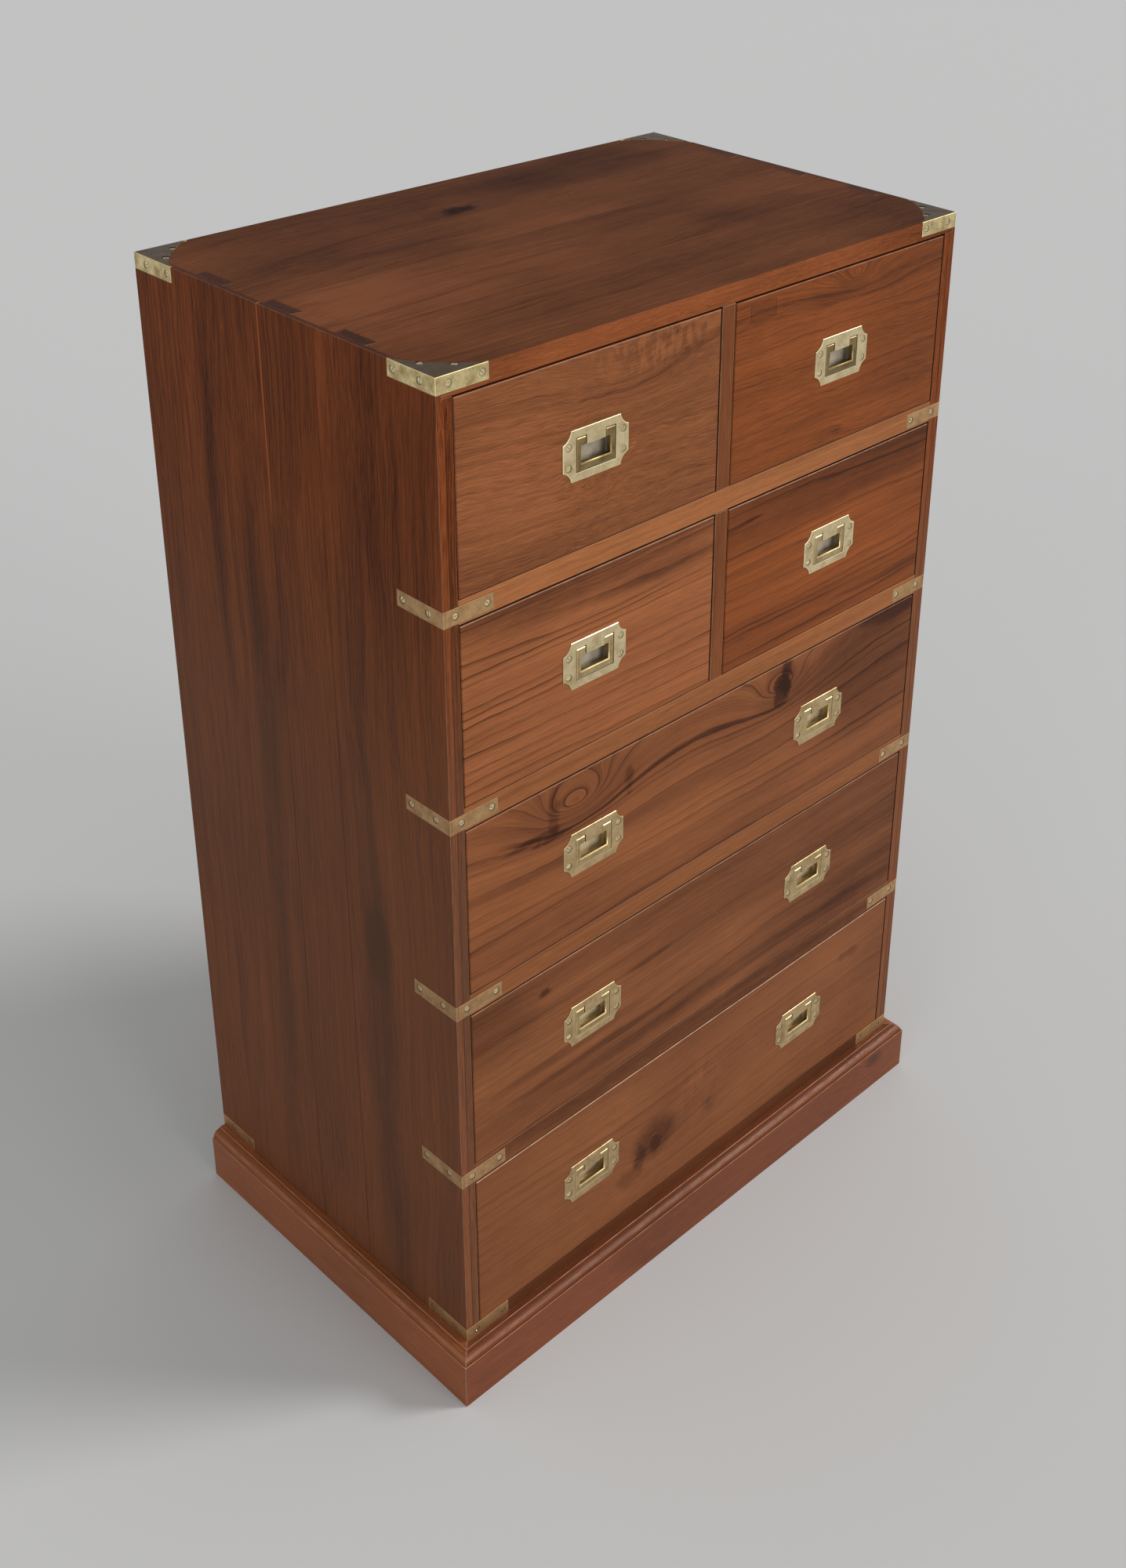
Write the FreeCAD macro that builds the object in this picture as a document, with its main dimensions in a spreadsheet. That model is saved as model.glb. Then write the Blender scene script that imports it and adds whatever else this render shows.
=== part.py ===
import FreeCAD, Part
import os
import re
import Sketcher

# Campaign chest of drawers: teak carcass with inlaid brass, seven sliding drawers and ten recessed handles.
# Millimetres. +Z is up, the drawers face -Y, and the origin is under the middle of the whole chest.

# Driving dimensions, by the piece that they belong to
SIZES = {
    # carcass
    "carcass_width": 700,
    "carcass_depth": 443,
    "side_thickness": 17,
    "top_thickness": 20,
    "bottom_thickness": 22,
    "rail_height": 24,
    "rail_depth": 70,
    "divider_width": 18,
    "row_opening": 188,
    "base_row_opening": 194,
    # joints of the carcass
    "housing_depth": 6,
    "housing_setback": 12,
    "lap_thickness": 5,
    "pin_width": 45,
    "pin_slope_share": 0.14,
    "pin_place_share": 0.235,
    # back boards
    "back_thickness": 10,
    "back_rebate": 9,
    "back_bevel": 2,
    # inner fittings
    "runner_width": 20,
    "guide_height": 30,
    "stop_length": 40,
    "stop_width": 16,
    "stop_height": 6,
    "stop_inset": 45,
    # plinth
    "plinth_projection": 18,
    "plinth_face_height": 56,
    "seat_rise": 4,
    "plinth_ledge": 14,
    "plinth_step": 1.8,
    "bead_radius": 9,
    "bead_quirk": 1.2,
    "plinth_back_thickness": 22,
    "glue_block_width": 36,
    "glue_block_height": 50,
    # brass mounts
    "brass_thickness": 2.5,
    "strap_height": 16,
    "strap_rise": 2.4,
    "front_arm": 57,
    "side_arm": 62,
    "corner_plate_radius": 150,
    # drawers
    "drawer_side_gap": 1.2,
    "drawer_top_gap": 2,
    "drawer_floor_gap": 0.3,
    "drawer_back_gap": 14,
    "drawer_front_thickness": 22,
    "front_bevel": 1,
    "drawer_wall": 10,
    "drawer_wall_drop": 6,
    "drawer_back_drop": 10,
    "drawer_bottom_thickness": 7,
    "drawer_bottom_rise": 9,
    "groove_depth": 4,
    "front_lap": 6,
    "tail_width": 34,
    "tail_slope_share": 0.15,
    # handle plates
    "plate_width": 81,
    "plate_height": 50,
    "plate_thickness": 2.4,
    "plate_proud": 0.8,
    "plate_bevel": 0.5,
    "ear_height": 27,
    "shoulder_width": 61,
    "cusp_radius": 14,
    "slot_width": 49.5,
    "slot_height": 34,
    "pan_depth": 12.5,
    "pan_wall": 1.2,
    "tongue_width": 23,
    "tongue_length": 9.2,
    # bails
    "bail_thickness": 5,
    "bail_arm": 6,
    "bail_bar": 7,
    "bail_lug_height": 8.5,
    "bail_lug_gap": 0.5,
    "bail_side_gap": 0.9,
    "bail_top_gap": 1,
    "bail_bevel": 0.9,
    "pin_radius": 1.25,
    "pin_clearance": 0.05,
    "cut_overrun": 2,
}

RAIL_UNDER_ROW = {"upper": "rail_1", "second": "rail_2", "third": "rail_3", "fourth": "rail_4"}
BASE_ROW = "base"
SPLIT_ROWS = ("upper", "second")
BACK_BOARD_COUNT = 5
TAIL_PLACE_SHARES = (0.19, 0.5, 0.81)

# Places and sizes that follow from the driving dimensions
PLACES = {
    "half_width": "carcass_width / 2",
    "front_y": "plinth_projection - (carcass_depth + plinth_projection) / 2",
    "back_y": "(carcass_depth + plinth_projection) / 2",
    "middle_y": "plinth_projection / 2",
    "opening_width": "carcass_width - 2 * side_thickness",
    "half_opening": "(opening_width - divider_width) / 2",
    "handle_x": "(half_opening + divider_width) / 2",
    "seat_height": "plinth_face_height + seat_rise",
    "base_row_floor": "seat_height + bottom_thickness",
    "fourth_row_floor": "base_row_floor + base_row_opening + rail_height",
    "third_row_floor": "fourth_row_floor + row_opening + rail_height",
    "second_row_floor": "third_row_floor + row_opening + rail_height",
    "upper_row_floor": "second_row_floor + row_opening + rail_height",
    "top_z": "upper_row_floor + row_opening",
    "chest_height": "top_z + top_thickness",
    "plinth_height": "plinth_face_height + bead_radius + bead_quirk",
    "bead_edge": "plinth_projection - plinth_step - bead_radius",
    "runner_y": "front_y + rail_depth",
    "runner_length": "carcass_depth - rail_depth - back_thickness",
    "back_width": "opening_width + 2 * back_rebate",
    "drawer_depth": "carcass_depth - back_thickness - drawer_back_gap",
    "pivot_height": "slot_height / 2 - bail_top_gap - bail_lug_height / 2",
    "bail_half_width": "slot_width / 2 - bail_side_gap",
    "bail_top": "slot_height / 2 - bail_top_gap",
    "bail_foot": "bail_side_gap - slot_height / 2",
    "lug_inner": "tongue_width / 2 + bail_lug_gap",
}

doc = FreeCAD.newDocument("campaign_chest")
sizes = doc.addObject("Spreadsheet::Sheet", "Sizes")
places = doc.addObject("Spreadsheet::Sheet", "Places")


def formula(text, home=""):
    """Point every size or place named in the text at the cell that holds it."""
    def cell(word):
        name = word.group()
        sheet = "Sizes" if name in SIZES else "Places" if name in PLACES else home
        return name if sheet == home else f"{sheet}.{name}"
    return re.sub(r"[a-z]\w*", cell, text)


for row, (name, size) in enumerate(SIZES.items(), start=1):
    sizes.set(f"A{row}", name)
    sizes.set(f"B{row}", str(size))
    sizes.setAlias(f"B{row}", name)
for row, (name, text) in enumerate(PLACES.items(), start=1):
    places.set(f"A{row}", name)
    places.set(f"B{row}", "=" + formula(text, "Places"))
    places.setAlias(f"B{row}", name)
doc.recompute()


def measure(text):
    """The number that a formula gives with the sizes as they are."""
    return float(sizes.evalExpression(formula(text)))


def bind(item, **properties):
    """Tie an object's properties to formulas."""
    for name, text in properties.items():
        item.setExpression(name, formula(text))


def place(item, corner):
    """Tie an object's place to three formulas."""
    for axis, text in zip("xyz", corner):
        item.setExpression(f"Placement.Base.{axis}", formula(text))


def block(name, corner, extent):
    """A board or bar with its low corner and its three sizes given as formulas."""
    item = doc.addObject("Part::Box", name)
    bind(item, Length=extent[0], Width=extent[1], Height=extent[2])
    place(item, corner)
    return item


def joined(name, pieces):
    """One solid made of pieces that meet."""
    item = doc.addObject("Part::MultiFuse", name)
    item.Shapes = pieces
    item.Refine = True
    return item


def group(name, pieces):
    """Separate solids kept together as one sub-part."""
    item = doc.addObject("Part::Compound", name)
    item.Links = pieces
    return item


def fitted(name, blank, inserts):
    """A blank with a seat cut in it for everything that is let into it."""
    for step, insert in enumerate(inserts, start=1):
        item = doc.addObject("Part::Cut", name if step == len(inserts) else f"{name}_seat_{step}")
        item.Base = blank
        item.Tool = insert
        blank = item
    return blank


def mirrored(name, source, axis, middle="0"):
    """The other hand of a piece, across a plane square to the axis."""
    item = doc.addObject("Part::Mirroring", name)
    item.Source = source
    item.Normal = FreeCAD.Vector(axis == "x", axis == "y", 0)
    item.setExpression(f"Base.{axis}", formula(middle))
    return item


def copied(name, source, corner):
    """Another one of the same piece, at its own place."""
    item = doc.addObject("App::Link", name)
    item.LinkedObject = source
    place(item, corner)
    return item


def outline(body, name, role, corners, bends=None):
    """A closed sketch on an origin plane. A bend gives the edge after a corner a radius, hollow if negative."""
    bends = bends or {}
    sketch = body.newObject("Sketcher::SketchObject", name)
    plane = next(item for item in body.Origin.OriginFeatures if item.Role == role)
    sketch.AttachmentSupport = [(plane, "")]
    sketch.MapMode = "FlatFace"
    points = [FreeCAD.Vector(measure(x), measure(y), 0) for x, y in corners]
    up = FreeCAD.Vector(0, 0, 1)
    ends = []
    for edge, start in enumerate(points):
        finish = points[(edge + 1) % len(points)]
        if edge not in bends:
            sketch.addGeometry(Part.LineSegment(start, finish))
            ends.append((1, 2))
            continue
        radius = measure(bends[edge])
        hollow = radius < 0
        first, last = (finish, start) if hollow else (start, finish)
        chord = last - first
        rise = (radius ** 2 - chord.Length ** 2 / 4) ** 0.5
        centre = (first + last) / 2 + up.cross(chord).normalize() * rise
        angles = [FreeCAD.Vector(1, 0, 0).getAngle(end - centre) for end in (first, last)]
        turns = [angle if end.y >= centre.y else -angle for angle, end in zip(angles, (first, last))]
        sketch.addGeometry(Part.ArcOfCircle(Part.Circle(centre, up, abs(radius)), turns[0], turns[1]))
        ends.append((2, 1) if hollow else (1, 2))
    for edge in range(len(points)):
        after = (edge + 1) % len(points)
        sketch.addConstraint(Sketcher.Constraint("Coincident", edge, ends[edge][1], after, ends[after][0]))
    for edge, corner in enumerate(corners):
        for kind, text in zip(("DistanceX", "DistanceY"), corner):
            tie = Sketcher.Constraint(kind, -1, 1, edge, ends[edge][0], measure(text))
            sketch.setExpression(f"Constraints[{sketch.addConstraint(tie)}]", formula(text))
    for edge, text in bends.items():
        tie = Sketcher.Constraint("Radius", edge, abs(measure(text)))
        sketch.setExpression(f"Constraints[{sketch.addConstraint(tie)}]", formula(f"abs({text})"))
    return sketch


def pad(body, name, sketch, length, backwards=False):
    """Raise a sketch to a solid."""
    item = body.newObject("PartDesign::Pad", name)
    item.Profile = sketch
    item.Reversed = backwards
    bind(item, Length=length)
    return item


def bevelled_front(body, name, feature, size):
    """Break all the edges of the feature's foremost face."""
    doc.recompute()
    faces = feature.Shape.Faces
    front = min(range(len(faces)), key=lambda index: faces[index].CenterOfMass.y)
    item = body.newObject("PartDesign::Chamfer", name)
    item.Base = (feature, [f"Face{front + 1}"])
    bind(item, Size=size)
    return item


subparts = []


def keep(label, item):
    """Name a finished sub-part and put it on the list of pieces to write."""
    item.Label = label
    subparts.append(item)
    return item


# Brass straps: a flat bar bent round a vertical edge and let in flush
def strap(name, floor):
    """The strap on the front left edge with its lower edge at a height."""
    side = block(f"{name}_side_arm", ("-half_width", "front_y", floor),
                 ("brass_thickness", "side_arm", "strap_height"))
    front = block(f"{name}_front_arm", ("-half_width", "front_y", floor),
                  ("front_arm", "brass_thickness", "strap_height"))
    return joined(name, [side, front])


straps = []
for row in RAIL_UNDER_ROW:
    left = strap(f"strap_{row}", f"{row}_row_floor - rail_height + strap_rise")
    straps += [left, mirrored(f"strap_{row}_right", left, "x")]
base_left = strap("base_strap", "base_row_floor - strap_height")
base_rear = mirrored("base_strap_rear", base_left, "y", "middle_y")
straps += [base_left, mirrored("base_strap_right", base_left, "x")]
straps += [base_rear, mirrored("base_strap_rear_right", base_rear, "x")]
corner_straps = keep("corner_straps", group("corner_straps", straps))

# Brass top corners: the same bent bar with a three-cornered plate over the top
mount_bar = strap("mount_bar", "chest_height - strap_height")
mount_plate = doc.addObject("PartDesign::Body", "mount_plate")
mount_outline = outline(mount_plate, "mount_outline", "XY_Plane",
                        [("0", "0"), ("front_arm", "0"), ("0", "side_arm")], {1: "-corner_plate_radius"})
pad(mount_plate, "mount_pad", mount_outline, "brass_thickness")
place(mount_plate, ("-half_width", "front_y", "chest_height - brass_thickness"))
mount_left = joined("mount", [mount_bar, mount_plate])
mount_rear = mirrored("mount_rear", mount_left, "y", "middle_y")
mounts = [mount_left, mirrored("mount_right", mount_left, "x")]
mounts += [mount_rear, mirrored("mount_rear_right", mount_rear, "x")]
top_corner_mounts = keep("top_corner_mounts", group("top_corner_mounts", mounts))


# Boards housed at both ends, with the housing stopped short of the front
def housed_across(name, floor, depth, height):
    """A board between the two sides."""
    span = block(f"{name}_span", ("-opening_width / 2", "front_y", floor), ("opening_width", depth, height))
    tongue = block(f"{name}_tongue",
                   ("-opening_width / 2 - housing_depth", "front_y + housing_setback", floor),
                   ("opening_width + 2 * housing_depth", f"{depth} - housing_setback", height))
    return joined(f"{name}_blank", [span, tongue])


def housed_upright(name, floor, height):
    """A divider between the board above it and the rail below it."""
    span = block(f"{name}_span", ("-divider_width / 2", "front_y", floor), ("divider_width", "rail_depth", height))
    tongue = block(f"{name}_tongue", ("-divider_width / 2", "front_y + housing_setback", f"{floor} - housing_depth"),
                   ("divider_width", "rail_depth - housing_setback", f"{height} + 2 * housing_depth"))
    return joined(name, [span, tongue])


upper_divider = keep("upper_divider", housed_upright("upper_divider", "upper_row_floor", "row_opening"))
lower_divider = keep("lower_divider", housed_upright("lower_divider", "second_row_floor", "row_opening"))
dividers_at_row = {"upper": [upper_divider, lower_divider], "second": [lower_divider]}

rail_blanks = []
for row, rail in RAIL_UNDER_ROW.items():
    blank = housed_across(rail, f"{row}_row_floor - rail_height", "rail_depth", "rail_height")
    rail_blanks.append(blank)
    keep(rail, fitted(rail, blank, [corner_straps] + dividers_at_row.get(row, [])))

bottom_blank = housed_across("bottom_board", "seat_height", "carcass_depth - back_thickness", "bottom_thickness")
keep("bottom_board", fitted("bottom_board", bottom_blank, [corner_straps]))

# Back: vertical boards side by side in a rebate, with a bevel along each joint
back_width_each = f"back_width / {BACK_BOARD_COUNT}"
back_board = doc.addObject("PartDesign::Body", "back_board")
back_outline = outline(back_board, "back_outline", "XY_Plane", [
    ("0", "0"),
    (back_width_each, "0"),
    (back_width_each, "back_thickness - back_bevel"),
    (f"{back_width_each} - back_bevel", "back_thickness"),
    ("back_bevel", "back_thickness"),
    ("0", "back_thickness - back_bevel"),
])
pad(back_board, "back_pad", back_outline, "top_z - seat_height")
back_boards = []
for index in range(BACK_BOARD_COUNT):
    corner = (f"{index} * {back_width_each} - back_width / 2", "back_y - back_thickness", "seat_height")
    back_boards.append(copied(f"back_board_{index}", back_board, corner))
back_space = block("back_space", ("-back_width / 2", "back_y - back_thickness", "seat_height"),
                   ("back_width", "back_thickness", "top_z - seat_height"))
back_set = group("back_set", back_boards)
keep("back_boards", fitted("back_boards", back_set, [corner_straps, top_corner_mounts]))


# Sides: a lap and dovetail pins at the top, which the top board is dropped on to
def dovetail_pin(name, side, place_text):
    """A pin that widens inwards from the lap on the left (-1) or right (1) side."""
    pin = doc.addObject("Part::Wedge", name)
    length = "(side_thickness - lap_thickness)"
    narrow = f"(pin_width / 2 - {length} * pin_slope_share)"
    bind(pin, Xmin=f"-{narrow}", Xmax=narrow, X2min="-pin_width / 2", X2max="pin_width / 2")
    bind(pin, Ymin="0", Ymax=length, Zmin="0", Zmax="top_thickness", Z2min="0", Z2max="top_thickness")
    pin.Placement.Rotation = FreeCAD.Rotation(FreeCAD.Vector(0, 0, 1), 90 * side)
    place(pin, (f"{side} * (half_width - lap_thickness)", place_text, "top_z"))
    return pin


cross_boards = group("cross_boards", rail_blanks + [bottom_blank])
all_pins = []
for side, label in ((-1, "left"), (1, "right")):
    low_x = "-half_width" if side < 0 else "half_width - side_thickness"
    lap_x = "-half_width" if side < 0 else "half_width - lap_thickness"
    board = block(f"{label}_board", (low_x, "front_y", "seat_height"),
                  ("side_thickness", "carcass_depth", "top_z - seat_height"))
    lap = block(f"{label}_lap", (lap_x, "front_y", "top_z"), ("lap_thickness", "carcass_depth", "top_thickness"))
    pins = [dovetail_pin(f"{label}_pin_{step + 1}", side, f"middle_y + {step} * pin_place_share * carcass_depth")
            for step in (-1, 0, 1)]
    all_pins += pins
    blank = joined(f"{label}_side_blank", [board, lap] + pins)
    inserts = [cross_boards, back_space, corner_straps, top_corner_mounts]
    keep(f"{label}_side", fitted(f"{label}_side", blank, inserts))

top_blank = block("top_blank", ("lap_thickness - half_width", "front_y", "top_z"),
                  ("carcass_width - 2 * lap_thickness", "carcass_depth", "top_thickness"))
pin_set = group("pin_set", all_pins)
keep("top_board", fitted("top_board", top_blank, [pin_set, upper_divider, top_corner_mounts]))

# Inner fittings that carry, guide and stop the drawers
runners = []
for row in RAIL_UNDER_ROW:
    floor = f"{row}_row_floor - rail_height"
    extent = ("runner_width", "runner_length", "rail_height")
    runners.append(block(f"left_runner_{row}", ("-opening_width / 2", "runner_y", floor), extent))
    runners.append(block(f"right_runner_{row}", ("opening_width / 2 - runner_width", "runner_y", floor), extent))
    if row in SPLIT_ROWS:
        runners.append(block(f"centre_runner_{row}", ("-divider_width / 2 - runner_width", "runner_y", floor),
                             ("divider_width + 2 * runner_width", "runner_length", "rail_height")))
keep("drawer_runners", group("drawer_runners", runners))

guides = [block(f"guide_{row}", ("-divider_width / 2", "runner_y", f"{row}_row_floor"),
                ("divider_width", "runner_length", "guide_height")) for row in SPLIT_ROWS]
keep("centre_guides", group("centre_guides", guides))


# Plinth: one moulded section, mitred at the front corners
def moulding(label, back_end, front_end, hands):
    """A length of plinth along X, outward to -Y, with a mitre at the ends named in hands."""
    body = doc.addObject("PartDesign::Body", label)
    section = outline(body, f"{label}_section", "YZ_Plane", [
        ("plinth_ledge", "0"),
        ("plinth_ledge", "seat_height"),
        ("0", "seat_height"),
        ("0", "plinth_height"),
        ("-bead_edge", "plinth_height"),
        ("-bead_edge", "plinth_face_height + bead_radius"),
        ("-bead_edge - bead_radius", "plinth_face_height"),
        ("-plinth_projection", "plinth_face_height"),
        ("-plinth_projection", "0"),
    ], {5: "bead_radius"})
    section.setExpression("AttachmentOffset.Base.z", formula(back_end))
    pad(body, f"{label}_length", section, f"{front_end} - ({back_end})")
    for hand, face in hands:
        corner = f"{hand} * ({face})"
        reach = f"{hand} * ({face} + plinth_projection)"
        waste = outline(body, f"{label}_mitre_{hand + 1}", "XY_Plane", [
            (reach, "-plinth_projection"),
            (reach, "plinth_ledge"),
            (f"{corner} - {hand} * plinth_ledge", "plinth_ledge"),
        ])
        cut = body.newObject("PartDesign::Pocket", f"{label}_mitre_cut_{hand + 1}")
        cut.Profile = waste
        cut.Reversed = True
        bind(cut, Length="plinth_height + cut_overrun")
    return body


half_depth = "carcass_depth / 2"
front_reach = "(half_width + plinth_projection)"
plinth_front = moulding("plinth_front", f"-{front_reach}", front_reach, ((-1, "half_width"), (1, "half_width")))
place(plinth_front, ("0", "front_y", "0"))
plinth_left = moulding("plinth_left", f"-{half_depth}", f"{half_depth} + plinth_projection", ((1, half_depth),))
plinth_left.Placement.Rotation = FreeCAD.Rotation(FreeCAD.Vector(0, 0, 1), -90)
place(plinth_left, ("-half_width", "middle_y", "0"))
plinth_right = moulding("plinth_right", f"-{half_depth} - plinth_projection", half_depth, ((-1, half_depth),))
plinth_right.Placement.Rotation = FreeCAD.Rotation(FreeCAD.Vector(0, 0, 1), 90)
place(plinth_right, ("half_width", "middle_y", "0"))
for length in (plinth_front, plinth_left, plinth_right):
    keep(length.Name, length)
keep("plinth_back", block("plinth_back", ("plinth_ledge - half_width", "back_y - plinth_back_thickness", "0"),
                          ("carcass_width - 2 * plinth_ledge", "plinth_back_thickness", "seat_height")))

block_low = "seat_height - glue_block_height"
block_extent = ("glue_block_width", "glue_block_width", "glue_block_height")
glue_blocks = []
for side, x in (("left", "plinth_ledge - half_width"), ("right", "half_width - plinth_ledge - glue_block_width")):
    for end, y in (("front", "front_y + plinth_ledge"), ("rear", "back_y - plinth_back_thickness - glue_block_width")):
        glue_blocks.append(block(f"glue_block_{side}_{end}", (x, y, block_low), block_extent))
keep("glue_blocks", group("glue_blocks", glue_blocks))

# Recessed handle: a cusped plate with a pan behind it and a tongue that carries the bail's pin
handle_blank = doc.addObject("PartDesign::Body", "handle_blank")
end_x = "plate_width / 2"
end_z = "plate_height / 2"
ear_z = "ear_height / 2"
shoulder_x = "shoulder_width / 2"
plate_outline = outline(handle_blank, "plate_outline", "XZ_Plane", [
    (end_x, f"-{ear_z}"),
    (end_x, ear_z),
    (shoulder_x, end_z),
    (f"-{shoulder_x}", end_z),
    (f"-{end_x}", ear_z),
    (f"-{end_x}", f"-{ear_z}"),
    (f"-{shoulder_x}", f"-{end_z}"),
    (shoulder_x, f"-{end_z}"),
], {edge: "-cusp_radius" for edge in (1, 3, 5, 7)})
plate_pad = pad(handle_blank, "plate_pad", plate_outline, "plate_thickness", backwards=True)
bevelled_front(handle_blank, "plate_edge", plate_pad, "plate_bevel")
pan_x = "(slot_width / 2 + pan_wall)"
pan_z = "(slot_height / 2 + pan_wall)"
pan_outline = outline(handle_blank, "pan_outline", "XZ_Plane",
                      [(pan_x, f"-{pan_z}"), (pan_x, pan_z), (f"-{pan_x}", pan_z), (f"-{pan_x}", f"-{pan_z}")])
pan_outline.setExpression("AttachmentOffset.Base.z", formula("-plate_thickness"))
pad(handle_blank, "pan_pad", pan_outline, "pan_depth + pan_wall - plate_thickness", backwards=True)

well = block("handle_well", ("-slot_width / 2", "-cut_overrun", "-slot_height / 2"),
             ("slot_width", "pan_depth + cut_overrun", "slot_height"))
tongue = block("handle_tongue", ("-tongue_width / 2", "0", "slot_height / 2 - tongue_length"),
               ("tongue_width", "bail_thickness", "tongue_length + pan_wall"))
pin_bore = doc.addObject("Part::Cylinder", "handle_pin_bore")
bind(pin_bore, Radius="pin_radius + pin_clearance", Height="tongue_width + 2 * cut_overrun")
pin_bore.Placement.Rotation = FreeCAD.Rotation(FreeCAD.Vector(0, 1, 0), 90)
place(pin_bore, ("-tongue_width / 2 - cut_overrun", "bail_thickness / 2", "pivot_height"))
handle_shell = joined("handle_shell", [fitted("handle_pan", handle_blank, [well]), tongue])
handle_plate = fitted("handle_plate", handle_shell, [pin_bore])

# Bail: a flat stirrup whose upper ends turn in towards the tongue, on a pin that runs through it
bail_body = doc.addObject("PartDesign::Body", "bail_body")
bail_outline = outline(bail_body, "bail_outline", "XZ_Plane", [
    ("-bail_half_width", "bail_top"),
    ("-bail_half_width", "bail_foot"),
    ("bail_half_width", "bail_foot"),
    ("bail_half_width", "bail_top"),
    ("lug_inner", "bail_top"),
    ("lug_inner", "bail_top - bail_lug_height"),
    ("bail_half_width - bail_arm", "bail_top - bail_lug_height"),
    ("bail_half_width - bail_arm", "bail_foot + bail_bar"),
    ("bail_arm - bail_half_width", "bail_foot + bail_bar"),
    ("bail_arm - bail_half_width", "bail_top - bail_lug_height"),
    ("-lug_inner", "bail_top - bail_lug_height"),
    ("-lug_inner", "bail_top"),
])
bail_pad = pad(bail_body, "bail_pad", bail_outline, "bail_thickness", backwards=True)
bevelled_front(bail_body, "bail_edge", bail_pad, "bail_bevel")
bail_pin = doc.addObject("Part::Cylinder", "bail_pin")
bind(bail_pin, Radius="pin_radius", Height="2 * lug_inner + bail_arm")
bail_pin.Placement.Rotation = FreeCAD.Rotation(FreeCAD.Vector(0, 1, 0), 90)
place(bail_pin, ("-lug_inner - bail_arm / 2", "bail_thickness / 2", "pivot_height"))
bail = joined("bail", [bail_body, bail_pin])

# Drawers: name, row, low edge of the opening, width of the opening, and the handles with their places
LEFT_HALF = ("-opening_width / 2", "half_opening")
RIGHT_HALF = ("divider_width / 2", "half_opening")
FULL_WIDTH = ("-opening_width / 2", "opening_width")
BOTH_HANDLES = {"left_": "-handle_x", "right_": "handle_x"}
DRAWERS = [
    ("upper_left", "upper", LEFT_HALF, {"": "-handle_x"}),
    ("upper_right", "upper", RIGHT_HALF, {"": "handle_x"}),
    ("second_left", "second", LEFT_HALF, {"": "-handle_x"}),
    ("second_right", "second", RIGHT_HALF, {"": "handle_x"}),
    ("third", "third", FULL_WIDTH, BOTH_HANDLES),
    ("fourth", "fourth", FULL_WIDTH, BOTH_HANDLES),
    ("bottom", BASE_ROW, FULL_WIDTH, BOTH_HANDLES),
]


def drawer_tails(name, x, floor, wall_height):
    """The dovetails at the front end of a drawer side, which stop short of the drawer's face."""
    length = "(drawer_front_thickness - front_lap)"
    narrow = f"(tail_width / 2 - {length} * tail_slope_share)"
    tails = []
    for index, share in enumerate(TAIL_PLACE_SHARES, start=1):
        tail = doc.addObject("Part::Wedge", f"{name}_tail_{index}")
        bind(tail, Xmin="0", Xmax="drawer_wall", X2min="0", X2max="drawer_wall", Ymin="0", Ymax=length)
        bind(tail, Zmin="-tail_width / 2", Zmax="tail_width / 2", Z2min=f"-{narrow}", Z2max=narrow)
        place(tail, (x, "front_y + front_lap", f"{floor} + {share} * ({wall_height})"))
        tails.append(tail)
    return tails


def eased_front(name, width, height):
    """A drawer front with the edges of its face broken."""
    body = doc.addObject("PartDesign::Body", name)
    face = outline(body, f"{name}_outline", "XZ_Plane", [("0", "0"), (width, "0"), (width, height), ("0", height)])
    board = pad(body, f"{name}_board", face, "drawer_front_thickness", backwards=True)
    bevelled_front(body, f"{name}_edge", board, "front_bevel")
    return body


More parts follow.
